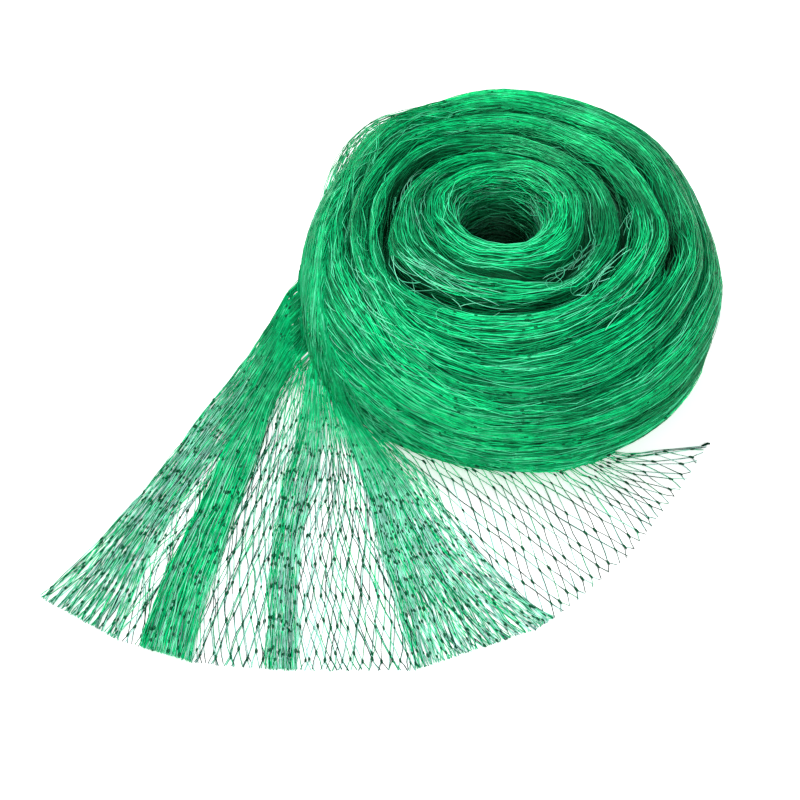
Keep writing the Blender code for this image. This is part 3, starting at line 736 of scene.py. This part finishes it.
# stretches where single strands cross over the others, painted pale as highlights where they catch the light
CROSSING = (
    # w from and to, azimuth from and to, how many, length in mm, slope, how pale (how strong the painted highlight)
    (1.40, 2.12, 212.0, 262.0, 38, (12, 28), (0.03, 0.22), 0.85),
    (3.10, 5.60, 202.0, 242.0, 56, (14, 34), (0.02, 0.15), 0.80),
    (1.82, 2.15, 303.0, 329.0, 20, (14, 34), (0.01, 0.08), 1.00),
    (0.85, 1.35, 288.0, 330.0, 10, (10, 24), (0.05, 0.35), 0.50),
    (1.90, 2.20, 340.0, 359.0, 6, (10, 24), (0.02, 0.15), 0.60),
    (2.20, 3.10, 306.0, 336.0, 10, (12, 30), (0.03, 0.20), 0.70),
    (0.60, 2.10, 140.0, 200.0, 12, (18, 44), (0.01, 0.08), 0.55),
    (-0.40, -0.06, -20.0, 200.0, 60, (8, 18), (0.01, 0.12), 0.75),
    (-0.22, 0.05, 0.0, 45.0, 12, (6, 12), (0.25, 0.50), 0.80),
)
rng = np.random.default_rng(515)
crossing = Tubes(3)
for low, high, first, last, how_many, long, slopes, paleness in CROSSING:
    for k in range(how_many):
        w0, a0 = rng.uniform(low, high), rng.uniform(first, last)
        start = float(run_at(np.array([w0]), np.array([math.radians((a0 - CUT) % 360.0)]))[0])
        r = float(np.interp(w0, np.arange(-1, 7) + 0.5, BAND_R)) * 1000
        reach = rng.uniform(*long)
        t = np.linspace(-0.5, 0.5, 9)
        turn = np.radians((a0 + np.degrees(reach * t / r) - CUT) % 360.0)
        slope = rng.uniform(*slopes) * rng.choice([-1, 1])
        if np.ptp(turn) > 3:
            continue                                    # over the cut the coordinates jump
        # from place to place it goes round evenly, over the grooves between them
        p, nrm, cut = skin(start + slope * reach * t[[0, 4, 8]] / 1000, turn[[0, 4, 8]])
        p = p + nrm * (0.7 * cut[:, None] if w0 > 0 else 0)
        far = np.hypot(p[:, 0] - CENTRE[0] - HOLE_SHIFT[0], p[:, 1] - CENTRE[1] - HOLE_SHIFT[1])
        far, level, out = np.interp(t, t[[0, 8]], far[[0, 2]]), np.interp(t, t[[0, 8]], p[[0, 2], 2]), nrm[1]
        a = turn + math.radians(CUT)
        off = 0.6 + (0.9 if w0 > 0 else 0.4) * (1 - 4 * t * t) * rng.uniform(0.5, 1.2) - 1.2 * (2 * np.abs(t)) ** 4
        p = np.stack([CENTRE[0] + HOLE_SHIFT[0] + far * np.cos(a), CENTRE[1] + HOLE_SHIFT[1] + far * np.sin(a), level], axis=1)
        p = p + out[None] * off[:, None] / 1000
        # painted highlight colour; down the hole it is painted darker, as shade
        pale = (PALE_HIGHLIGHT * (1 - 0.5 * rng.random()) + PALE_MINT_HIGHLIGHT * 0.5 * rng.random()) * paleness * rng.uniform(0.75, 1.1)
        if w0 < 0:
            pale = pale * np.clip(1 + start / 0.05, 0.1, 1)
        crossing.add(p, 0.00017 * rng.uniform(0.85, 1.2), np.clip(pale, 0, 0.95))
# and a few loops that have sprung out of the bundle, painted pale as highlights
for w0, a0, size, tall in ((1.9, 172.0, 6.0, 3.0), (1.7, 178.0, 5.0, 2.0), (3.6, 186.0, 6.5, 3.5), (3.3, 194.0, 5.0, 2.5),
                           (1.5, 292.0, 5.5, 2.5), (1.7, 303.0, 6.5, 3.0), (1.4, 315.0, 4.5, 2.0), (1.9, 322.0, 6.0, 3.0),
                           (2.4, 246.0, 5.0, 2.0), (1.05, 300.0, 3.5, 4.0), (1.15, 309.0, 4.0, 5.0), (1.0, 318.0, 3.5, 4.0),
                           (1.1, 325.0, 3.0, 4.0)):
    turn0 = math.radians((a0 - CUT) % 360.0)
    start = float(run_at(np.array([w0]), np.array([turn0]))[0])
    r = float(np.interp(w0, np.arange(-1, 7) + 0.5, BAND_R)) * 1000
    t = np.linspace(0, 1, 26)
    bend = rng.uniform(0, 6.28) + t * rng.uniform(4.2, 6.6)
    drift = (t - 0.5) * rng.uniform(0, 8)
    along, side = size * np.cos(bend) + drift, size * 0.8 * np.sin(bend)
    p, nrm, cut = skin(np.array([start]), np.array([turn0]))
    a = turn0 + math.radians(CUT)
    round_way = np.array([-math.sin(a), math.cos(a), 0.0])
    off = 0.2 + tall * np.sin(math.pi * t)
    p = (p + nrm * 0.5 * cut[:, None] + (np.outer(along, round_way) + np.outer(side, np.cross(nrm[0], round_way)) + np.outer(off, nrm[0])) / 1000)
    crossing.add(p, 0.00014, PALE_HIGHLIGHT * rng.uniform(0.5, 0.8))
obj = crossing.build("roll_crossing_strands", wound)
print("crossing strands", len(crossing.items), "triangles", crossing.count())

tubes = knot_tubes(roll_knots + loose_knots, 0.0022, 0.0010,
                   [np.array([0.000, 0.150, 0.050])] * len(roll_knots) + [KNOT] * len(loose_knots), 5, 3)
obj = tubes.build("roll_knots", knotted)
print("roll knots", len(roll_knots), "triangles", tubes.count())

# ---------------------------------------------------------------- the loose end
# Lines that part the loose end into its denser and more open bands. On the roll: azimuth at its axis in degrees
# and height in mm. Off it: x and y from the axis and height, in mm, the last ones along the end on the floor.
ON_ROLL = (
    ((146, 80), (161, 78), (175, 73), (186, 64)),
    ((141, 79), (156, 75), (170, 69), (184, 58), (192, 42)),
    ((142, 82), (157, 77), (172, 70), (186, 59), (194.5, 42)),
    ((146, 88), (162, 86), (178, 83), (191, 77), (200, 67), (204.5, 46)),
    ((152, 88), (168, 87), (184, 84), (196, 79), (204, 69), (208, 48), (206.5, 31)),
    ((160, 89), (177, 87), (192, 84), (203, 77), (208.4, 65), (211.1, 50), (212.1, 31)),
    ((168, 89), (184, 87), (198, 82), (208, 74), (213.5, 63), (217, 50), (218.6, 33)),
    ((176, 86), (192, 82), (205, 75), (215, 64), (221, 48), (224, 26)),
    ((184, 80), (199, 75), (212, 67), (222, 55), (228, 38), (232, 22)),
    ((184, 80), (199, 75), (212, 67), (222, 55), (229, 38), (234, 22)),
    ((197, 62), (212, 55), (226, 44), (237, 30), (246, 17)),
    ((212, 48), (226, 42), (239, 34), (250, 25), (259, 16)),
    ((222, 44), (236, 38), (249, 30), (260, 22), (268, 14)),
    ((232, 36), (246, 31), (260, 24), (271, 18), (278, 12)),
    ((240, 30), (254, 26), (268, 20), (280, 14), (286, 10)),
    ((248, 24), (262, 20), (275, 15), (285, 11), (291, 8)),
    ((254, 20), (268, 17), (280, 12), (289, 9), (295, 7)),
    ((260, 16), (273, 13), (284, 10), (292, 7), (298, 6)),
)
GUIDES = (
    ((-128.6, -21.5, 49), (-134.6, -25.0, 38), (-149.3, -27.9, 11), (-161.4, -48.0, 4), (-175.7, -69.0, 1), (-184.0, -86.5, 1), (-195.5, -112.7, 1), (-212.4, -143.0, 1), (-223.6, -160.7, 1), (-232.8, -177.2, 1), (-244.4, -190.7, 1), (-254.5, -203.9, 1)),
    ((-130.0, -36.5, 24), (-142.0, -57.4, 9), (-154.6, -85.0, 3), (-167.6, -108.4, 1), (-178.4, -129.4, 1), (-189.9, -156.2, 1), (-198.6, -181.5, 1), (-202.6, -205.6, 1), (-208.3, -229.1, 1)),
    ((-129.5, -39.0, 24), (-141.5, -59.0, 9), (-153.6, -86.0, 3), (-166.3, -110.5, 1), (-174.1, -143.0, 1), (-182.8, -169.0, 1), (-189.9, -193.7, 1), (-194.6, -217.3, 1), (-197.1, -232.5, 1)),
    ((-123.5, -48.9, 20), (-134.2, -60.7, 6), (-142.1, -88.0, 2), (-146.0, -115.5, 1), (-153.4, -143.0, 1), (-158.7, -169.0, 1), (-163.8, -193.7, 1), (-167.5, -217.3, 1), (-168.9, -241.3, 1)),
    ((-119.5, -58.0, 19), (-121.2, -76.1, 6), (-124.2, -102.7, 2), (-129.6, -129.4, 1), (-131.1, -156.2, 1), (-133.7, -181.5, 1), (-133.0, -205.6, 1), (-132.4, -228.6, 1), (-131.6, -245.0, 1)),
    ((-111.0, -72.5, 18), (-109.7, -80.5, 9), (-109.4, -103.4, 3), (-111.3, -129.4, 1), (-116.2, -156.2, 1), (-118.1, -181.5, 1), (-117.2, -205.6, 1), (-115.9, -228.6, 1), (-114.9, -245.6, 1)),
    ((-101.5, -82.5, 18), (-98.8, -87.0, 9), (-91.3, -107.0, 3), (-84.0, -129.4, 1), (-77.4, -156.2, 1), (-72.1, -181.5, 1), (-65.6, -205.6, 1), (-60.4, -228.6, 1), (-55.9, -245.6, 1)),
    ((-88.0, -98.0, 14), (-78.0, -107.8, 6), (-66.4, -122.5, 1.5), (-53.4, -143.0, 1), (-39.0, -172.2, 1), (-20.9, -194.9, 1), (-5.9, -211.5, 1), (7.3, -222.9, 1)),
    ((-67.4, -112.7, 12), (-56.7, -119.3, 5), (-45.3, -132.8, 1.5), (-37.3, -149.6, 1), (-21.0, -174.1, 1), (2.4, -204.5, 1), (17.2, -216.1, 1)),
    ((-63.5, -115.6, 12), (-52.1, -123.9, 5), (-41.0, -139.3, 1.5), (-29.3, -160.7, 1), (-17.2, -184.0, 1), (-6.1, -205.1, 1), (4.1, -225.2, 1)),
    ((-43.7, -124.0, 12), (-35.2, -129.4, 5), (-25.3, -143.3, 1.5), (-13.0, -165.8, 1), (-1.8, -187.7, 1), (7.2, -204.5, 1), (15.0, -217.8, 1)),
    ((-21.3, -128.1, 11), (-12.6, -133.5, 4), (-3.2, -148.0, 1.5), (7.6, -169.0, 1), (18.0, -188.9, 1), (28.0, -207.4, 1)),
    ((1.3, -129.4, 10), (10.9, -136.2, 4), (20.2, -149.3, 1.5), (29.0, -163.3, 1), (37.9, -177.8, 1), (46.1, -191.9, 1)),
    ((22.7, -130.1, 9), (33.0, -135.5, 3), (42.7, -148.0, 1.5), (52.8, -162.0, 1), (62.4, -177.2, 1)),
    ((41.3, -126.0, 8), (51.7, -130.8, 3), (61.6, -139.3, 1.5), (70.1, -148.3, 1), (77.7, -157.5, 1)),
    ((50.4, -121.8, 7), (63.3, -123.9, 3), (73.9, -127.7, 1.5), (84.1, -132.8, 1), (93.4, -138.3, 1)),
    ((57.8, -118.3, 6), (70.0, -116.2, 3), (81.7, -116.6, 1.5), (93.7, -118.3, 1), (105.3, -121.1, 1)),
    ((61.7, -115.5, 5), (75.2, -112.0, 3), (87.5, -108.8, 1.5), (101.8, -107.0, 1), (115.4, -105.5, 1)),
)


def skin_radius_at(azimuth_at_axis, height):
    top = ROLL_HEIGHT - SHOULDER_RADIUS
    widest = outline_radius(azimuth_at_axis)
    up = np.clip((height - top) / SHOULDER_RADIUS, 0, 1)
    low = np.clip((FOOT_RADIUS - height) / FOOT_RADIUS, 0, 1)
    return (widest - SHOULDER_RADIUS * (1 - np.sqrt(1 - up**2))
            - FOOT_RADIUS * (1 - np.sqrt(1 - low**2)))


def on_roll(azimuth_deg, height):
    a = math.radians(azimuth_deg)
    r = float(skin_radius_at(np.array([a]), np.array([height / 1000]))[0]) * 1000 + 1.6
    return r * math.cos(a), r * math.sin(a), height


def resample(points, lead, rest, root):
    """A smooth curve through points: `lead` places up to the point numbered `root`, `rest` from there on."""
    p = np.array(points, float)
    t = np.concatenate([[0], np.cumsum(np.linalg.norm(np.diff(p, axis=0), axis=1))])
    fine = np.linspace(0, t[-1], 400)
    q = smooth_rows(np.column_stack([t, p]), fine)[:, 1:]
    # the limited slopes still leave slight corners; a running mean takes them off
    kernel = np.hanning(25)
    kernel /= kernel.sum()
    pad = np.concatenate([2 * q[0] - q[12:0:-1], q, 2 * q[-1] - q[-2:-14:-1]])
    q = np.stack([np.convolve(pad[:, c], kernel, "valid") for c in range(3)], axis=1)
    at = np.concatenate([np.linspace(0, t[root], lead), np.linspace(t[root], t[-1], rest)[1:]])
    return np.stack([np.interp(at, fine, q[:, c]) for c in range(3)], axis=1)


LEAD, REST = 26, 64
curves = np.array([resample([on_roll(*k) for k in lead] + list(rest), LEAD, REST, len(lead))
                   for lead, rest in zip(ON_ROLL, GUIDES)])


def fan_path(place):
    """The whole way of a line of the loose end, in mm from the roll's axis. `place` counts the guides, so 2.5 is
    half way between the third and the fourth."""
    g = min(int(place), len(GUIDES) - 2)
    f = place - g
    return curves[g] * (1 - f) + curves[g + 1] * f


# Bands between neighbouring guides: how many lines each of the net's folds has there, how high they lie in mm,
# how much of it shines (crowded strands are painted bright, as painted light scattered among them, and lone ones
# are painted dark), strand radius in mm, share of bars with a second strand painted pale mint as a highlight,
# how far the rows of knots stray in mm.
BANDS = (
    ((22,) * 5, 1.6, 0.72, 0.260, 0.60, 6.5),
    ((3, 3), 0.6, 0.25, 0.250, 0.8, 1.5),
    ((23,) * 10, 3.0, 0.98, 0.285, 0.30, 6.0),
    ((9, 8, 8), 0.8, 0.26, 0.295, 0.9, 1.2),
    ((13,) * 5, 2.0, 0.64, 0.260, 0.70, 7.5),
    ((12, 12, 11), 0.8, 0.24, 0.295, 0.9, 1.2),
    ((21,) * 6, 1.8, 0.66, 0.270, 0.80, 6.5),
    ((4,) * 6, 2.0, 0.60, 0.240, 0.80, 4.0),
    ((0, 0), 0.8, 0.16, 0.260, 0.80, 0.8),
    ((2, 2), 0.8, 0.16, 0.285, 0.80, 0.9),
    ((3, 3), 0.8, 0.12, 0.285, 0.70, 0.9),
    ((4, 4), 0.8, 0.12, 0.285, 0.60, 0.9),
    ((3, 3), 0.8, 0.12, 0.285, 0.50, 0.9),
    ((4, 4), 0.8, 0.12, 0.285, 0.50, 0.9),
    ((4, 4), 0.8, 0.12, 0.280, 0.60, 0.9),
    ((3, 3), 0.8, 0.14, 0.250, 0.90, 0.9),
    ((2, 2), 0.8, 0.16, 0.250, 1.00, 0.9),
)
LONE = np.array([0.000, 0.034, 0.020])
# mint, for painted highlights
MINT_HIGHLIGHT = np.array([0.450, 0.960, 0.820])
STEP = 18.4                      # from one row of knots to the next, of 20 mm bars

net = Tubes(3)
netting = unfolded = reach = 0.0
root_rng = np.random.default_rng(77)
wrap = Tubes(3)
fan_knots, knot_tints, knot_sizes = [], [], []
rng = np.random.default_rng(77)


# a strand's colour: mint as a painted highlight, a green from MIDDLE to BRIGHT, or the dark LONE tint; the more a band
# shines, the more mint and green ones
def strand_colour(glow):
    pick = rng.random()
    if pick < 0.04 + 0.12 * glow:
        return MINT_HIGHLIGHT * rng.uniform(0.7, 1.0)
    if pick < 0.04 + 0.88 * glow:
        return (MIDDLE + (BRIGHT - MIDDLE) * rng.uniform(0, 1)) * rng.uniform(0.75, 1.15)
    return LONE * rng.uniform(0.5, 1.7)


for fold in range(max(len(band[0]) for band in BANDS)):
    places = []
    for g, band in enumerate(BANDS):
        if fold < len(band[0]):
            n = band[0][fold]
            if n == 0:
                continue
            shift = (fold * 0.37) % 1.0
            f = (np.arange(n) + 0.25 + 0.5 * shift + rng.uniform(-0.12, 0.12, n)) / n
            if len(band[0]) == 2:
                f = (np.arange(n) + 0.40 + (0.18 if g > 8 else 0.5) * fold + rng.uniform(-0.10, 0.10, n)) / n
            elif len(band[0]) > 3:
                if g == 0:                                  # its outer half lies more open
                    f = f ** 0.90
                elif g == 6:                                # and this one's outer half too, on the other side
                    f = f ** 1.15
                f = f + 0.70 / n * lattice(f * n * 0.8, g * 3.1 + 0.7 * fold, 131) + 0.010 * lattice(f * 13.0, g * 3.1, 133)
            places += list(g + np.clip(f, 0.005, 0.995))
    if fold < 3:
        places += [16.93 + 0.03 * fold]
    places = np.sort(np.array(places))
    phase = (0.0, 5.0, 1.5)[fold] if fold < 3 else rng.uniform(-2.0, 11.0)
    lines = []
    for place in places:
        p = fan_path(place)
        t = np.concatenate([[0], np.cumsum(np.linalg.norm(np.diff(p, axis=0), axis=1))])
        root = t[LEAD - 1]
        g = min(int(place), len(BANDS) - 1)
        loose = BANDS[g][5]
        shift = phase - (2.5 * fold if g > 8 else 0) + loose * (0.6 * float(lattice(place * 5.0, fold * 1.7, 140)) + 0.4 * float(lattice(place * 1.3, fold * 1.7, 150)))
        rows = np.arange(math.floor(t[-1] / STEP) + 1, -2, -1)     # counted inwards from the outer end
        at = t[-1] - 5.0 - rows * STEP - shift
        keep = (at > 3) & (at < t[-1] - 0.5)
        lines.append((p, t, rows[keep], at[keep], root, shift))
    # how much netting this fold has: the strips between strands that are tied to each other
    ways = np.array([[np.interp(np.linspace(line[4], line[1][-1], 41), line[1], line[0][:, c]) for c in range(3)]
                     for line in lines]).transpose(0, 2, 1)
    between = ways[1:] - ways[:-1]
    ahead = np.gradient(ways, axis=1)[1:]
    pace = np.linalg.norm(ahead, axis=2)
    ahead = ahead / np.maximum(pace[..., None], 1e-9)
    apart = np.linalg.norm(between - (between * ahead).sum(axis=2, keepdims=True) * ahead, axis=2)
    apart = apart * (apart < 17.0) * (np.diff(np.minimum(places.astype(int), len(BANDS) - 1)) <= 1)[:, None]
    netting += float((apart * pace)[:, 1:].sum()) / 1e6
    unfolded += float(apart[:, -1].sum()) / 1000
    reach = max(reach, max(float(line[1][-1] - line[4]) for line in lines) / 1000)

    def spot(line, q):
        return np.stack([np.interp(q, line[1], line[0][:, c]) for c in range(3)], axis=-1)

    for j, line in enumerate(lines):
        p, t, rows, at, root, shift = line
        g = min(int(places[j]), len(BANDS) - 1)
        counts, fold_mm, glow, wide, doubled, loose = BANDS[g]
        points, knot_at, marks = [spot(line, 0.0)], [], []
        for r, a in zip(rows, at):
            q = spot(line, a)
            # at each row a line meets one neighbour, at the next row the other
            other = j + 1 if (r + j) % 2 == 0 else j - 1
            if 0 <= other < len(lines):
                o = lines[other]
                b = o[1][-1] - 5.0 - r * STEP - o[5]
                if 0 < b < o[1][-1]:
                    gap = spot(o, b) - q
                    if np.linalg.norm(gap[:2]) < 17.0:
                        q = q + gap / 2
                        if other > j:
                            knot_at.append(len(points))
            elif j == 0 and fold < 2:
                knot_at.append(len(points))
            marks.append(a)
            points.append(q)
        points.append(spot(line, t[-1] - rng.uniform(0, 0.8)))
        points = np.array(points)
        full, back = [points[0]], [0]
        for i in range(len(points) - 1):
            d = points[i + 1] - points[i]
            long = np.linalg.norm(d)
            side = np.array([-d[1], d[0], 0]) / max(long, 1e-6)
            slack = rng.normal(0, 0.45 if len(counts) > 3 or g > 8 else 0.8) * min(long / 20, 1)
            parts = 1 if long < 6 else 2 if long < 12 or len(counts) > 4 else 3
            for f in np.arange(1, parts) / parts:
                full.append(points[i] + d * f + side * slack * 4 * f * (1 - f))
            full.append(points[i + 1])
            back.append(len(full) - 1)
        full = np.array(full)
        s = np.concatenate([[0], np.cumsum(np.linalg.norm(np.diff(full, axis=0), axis=1))])
        from_root = s - root * s[-1] / t[-1]
        level = rng.uniform(0.0, 1.0)
        # on the floor the strands of a crowded band lie over each other in soft folds
        humps = 0.5 + 0.5 * lattice(s / 28.0, places[j] * 1.3, 160 + fold)
        lift = 0.30 + (fold_mm * (0.25 * fold / len(counts) + level)) * np.clip(from_root / 40.0, 0, 1) * (0.45 + 0.9 * humps)
        full[:, 2] = np.where(from_root > 0, np.maximum(full[:, 2] - 0.7, 0) + lift, full[:, 2])
        # on the roll it keeps just over the wound strands, and starts from under them
        radius = np.hypot(full[:, 0], full[:, 1])
        azimuth = np.arctan2(full[:, 1], full[:, 0])
        over = 1.5 + 1.3 * level - 4.0 * np.clip(1 - s / 22.0, 0, 1)
        if g < 3:
            over = over + 0.4 * np.clip((np.degrees(azimuth) % 360.0 - 173.0) / 12.0, 0, 1)
        skin_r = skin_radius_at(azimuth, np.maximum(full[:, 2], 0) / 1000) * 1000
        wanted = np.where(from_root < 0, skin_r + over, np.maximum(radius, skin_r + over))
        near_skin = np.clip(1 - from_root / 12.0, 0, 1)
        wanted = np.where(from_root > 0, np.maximum(radius, skin_r + over), radius * (1 - near_skin) + wanted * near_skin)
        full[:, :2] *= (wanted / np.maximum(radius, 1))[:, None]
        along = np.gradient(full, axis=0)
        along /= np.maximum(np.linalg.norm(along, axis=1, keepdims=True), 1e-9)
        outward = np.stack([np.cos(azimuth), np.sin(azimuth), np.zeros(len(s))], axis=1)
        across = np.cross(along, outward)
        stray = 2.4 * lattice(s / 17.0, places[j] * 2.1, 190 + fold) + 1.6 * lattice(s / 8.0, places[j] * 2.9, 200 + fold)
        full = full + across * (stray * np.clip(-from_root / 16.0, 0, 1))[:, None]
        world = full / 1000 + np.array([CENTRE[0], CENTRE[1], 0])
        # colour bar by bar
        bar = np.searchsorted(np.array(marks), s * t[-1] / s[-1])
        own = strand_colour(glow)
        shades = np.array([own * 0.55 + strand_colour(glow) * 0.45 for _ in range(len(marks) + 1)])
        # near the roll: greens darkened by a fixed factor, and now and then a bar painted pale as a highlight
        sleek = 0.76 if g < 3 else 0.92
        close = np.array([(MIDDLE + (BRIGHT - MIDDLE) * rng.uniform(0.2, 1)) * rng.uniform(0.60, 1.20) * sleek
                          if rng.random() < (0.92 if g < 3 else 0.84) else
                          PALE_HIGHLIGHT * rng.uniform(0.8, 1.1) * sleek for _ in range(len(marks) + 1)])
        near = np.clip(1.15 - from_root / (95.0 if g in (0, 2) else 62.0 if len(counts) > 3 else 45.0 if g < 9 else 22.0), 0, 1)[:, None]
        colour = shades[bar] * (1 - near) + close[bar] * near
        thick = wide / 1000 * rng.uniform(0.85, 1.15)
        cut = int(np.searchsorted(from_root, -6.0))
        keep_on_roll = rng.random() < (0.75 if len(counts) > 2 and g > 0 else 1.0)
        net.add(world[cut:], thick, colour[cut:])
        # not all of them show from the same place on: they come out between the wound strands one by one
        first = int(np.searchsorted(s, rng.uniform(0.0, 30.0) if g > 8 or g < 3 else rng.uniform(0.0, 0.80) * s[max(cut, 0)]))
        if keep_on_roll and cut - first > 2:
            # its start goes down between the wound strands
            inward = world[first:cut + 1].copy()
            inward[:, :2] -= outward[first:cut + 1, :2] * 0.0035 * np.clip(1 - (s[first:cut + 1, None] - s[first]) / 16.0, 0, 1)
            # painted shade: darker towards its start, where it goes down between the wound strands
            shaded = 1 - (0.26 if g < 3 else 0.12 if g < 9 else 0.0) * np.clip(-from_root[first:cut + 1, None] / 30.0 - 0.1, 0, 1)
            wrap.add(inward, thick, colour[first:cut + 1] * shaded)
        for k in knot_at:
            i = back[k]
            if from_root[i] > (-8 if g > 8 else 2) and (g > 8 or rng.random() > 0.75 * float(near[i, 0]) + (0.35 if g == 2 else 0)):
                fan_knots.append((world[i], world[min(i + 1, len(world) - 1)] - world[i - 1], np.array([0, 0, 1.0])))
                crowd = min(1.0, max(0.0, glow - 0.3) * 1.2 + (1.2 if g < 9 else 0.2) * float(near[i, 0]))
                knot_tints.append(KNOT * (1 - crowd) + np.array([0.0, 0.090, 0.035]) * crowd)
                knot_sizes.append(1.25 if g > 8 else 1.1 - 0.15 * crowd)
        if (g in (0, 2) or (g in (4, 6) and places[j] % 1.0 < 0.3)) and rng.random() < 0.8:
            # near the roll the crowded folds lie closer still
            stop = int(np.searchsorted(from_root, rng.uniform(45.0, 100.0) * (1.0 if g == 0 else 1.9)))
            if stop - cut > 2:
                away = np.zeros_like(full)
                away[:, 0] = 0.9 * lattice(s / 14.0, j * 1.9, 180 + fold) + rng.uniform(-1.0, 1.0)
                away[:, 1] = 0.6 * lattice(s / 14.0, j * 1.9, 183 + fold)
                away[:, 2] = -0.3
                filler = world + away / 1000
                filler[:, 2] = np.maximum(filler[:, 2], 0.0003)
                net.add(filler[cut:stop], 0.00022, (close[bar] * rng.uniform(0.6, 1.0))[cut:stop])
        if g < 3:
            # and where they come off the roll another layer shows between them
            stop = int(np.searchsorted(from_root, root_rng.uniform(22.0, 50.0)))
            start = max(cut - 2, 0)
            if stop - start > 2:
                between = world[start:stop].copy()
                between[:, 0] += root_rng.uniform(-1.8, 1.8) / 1000
                between[:, 2] = np.maximum(between[:, 2] - root_rng.uniform(0.4, 2.2) / 1000, 0.0003)
                net.add(between, 0.00026, (close[bar] * root_rng.uniform(0.55, 0.9))[start:stop])
        if rng.random() < doubled:
            # the second strand of a loosely twisted bar, painted pale mint as a highlight
            away = np.zeros_like(full)
            away[:, 0] = 0.55 * lattice(s / 9.0, j * 2.3, 170 + fold) + rng.uniform(-0.5, 0.5)
            away[:, 1] = 0.35 * lattice(s / 9.0, j * 2.3, 173 + fold)
            away[:, 2] = np.abs(0.2 * lattice(s / 9.0, j * 2.3, 176 + fold))
            second = (world + away / 1000)[cut:]
            pale = MINT_HIGHLIGHT * rng.uniform(0.75, 1.05)
            net.add(second, 0.00015, (pale[None] * (1 - near) + close[bar] * near)[cut:])

# the corner where the edge cord ends in a thicker knot
tip = np.array([CENTRE[0] + 0.1152, CENTRE[1] - 0.1054, 0.0022])
net.add(tip[None] + np.array([[-0.0034, -0.0010, 0], [-0.0016, -0.0003, 0.0002], [0.0002, 0.0004, 0.0003], [0.0018, 0.0006, 0]]),
            np.array([0.0005, 0.0008, 0.0009, 0.0006]), KNOT * 0.5)

net_obj = net.build("fan_net", spread)
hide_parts("net_loose_end")
knots = knot_tubes(fan_knots, 0.0023, 0.0013, knot_tints, 6, 4, knot_sizes)
knots_obj = knots.build("fan_knots", knotted)
print("netting in the fan: unfolded", round(unfolded, 3), "reach", round(reach, 3), "area", round(netting, 4))
over_roll = wrap.build("roll_outer_net", wound)
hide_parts("net_roll")
print("fan strands", len(net.items), "triangles", net.count(), "on the roll", wrap.count(),
      "knots", len(fan_knots), "triangles", knots.count())

# ---------------------------------------------------------------- floor and light
bpy.ops.mesh.primitive_plane_add(size=12.0, location=(0, 0, 0))
floor = bpy.context.object
floor.name = "floor"
m, nodes, links, shader = principled("floor", 0.9, 0.1, (1, 1, 1, 1))
shader.inputs["Base Color"].default_value = (0.93, 0.935, 0.93, 1)
shader.inputs["Emission Color"].default_value = (1, 1, 1, 1)
shader.inputs["Emission Strength"].default_value = 0.42
floor.data.materials.append(m)

world = bpy.data.worlds.new("world")
bpy.context.scene.world = world
world.use_nodes = True
world.node_tree.nodes["Background"].inputs["Color"].default_value = (1, 1, 1, 1)
world.node_tree.nodes["Background"].inputs["Strength"].default_value = 0.59


def area(name, place, aim, size, power):
    light = bpy.data.lights.new(name, "AREA")
    light.size, light.energy = size, power
    obj = bpy.data.objects.new(name, light)
    obj.location = place
    d = np.array(aim, float) - np.array(place, float)
    obj.rotation_euler = (math.atan2(math.hypot(d[0], d[1]), -d[2]), 0, math.atan2(-d[0], d[1]) if math.hypot(d[0], d[1]) > 1e-6 else 0)
    bpy.context.scene.collection.objects.link(obj)
    return obj


area("key", (-0.35, 0.35, 1.2), (0.05, 0.03, 0.05), 0.35, 13.0)
area("front", (0.15, -0.8, 1.0), (0.05, 0.03, 0.05), 0.5, 6.0)

scene = bpy.context.scene
scene.view_settings.view_transform = "Standard"
scene.view_settings.look = "None"
scene.view_settings.exposure = 0.0
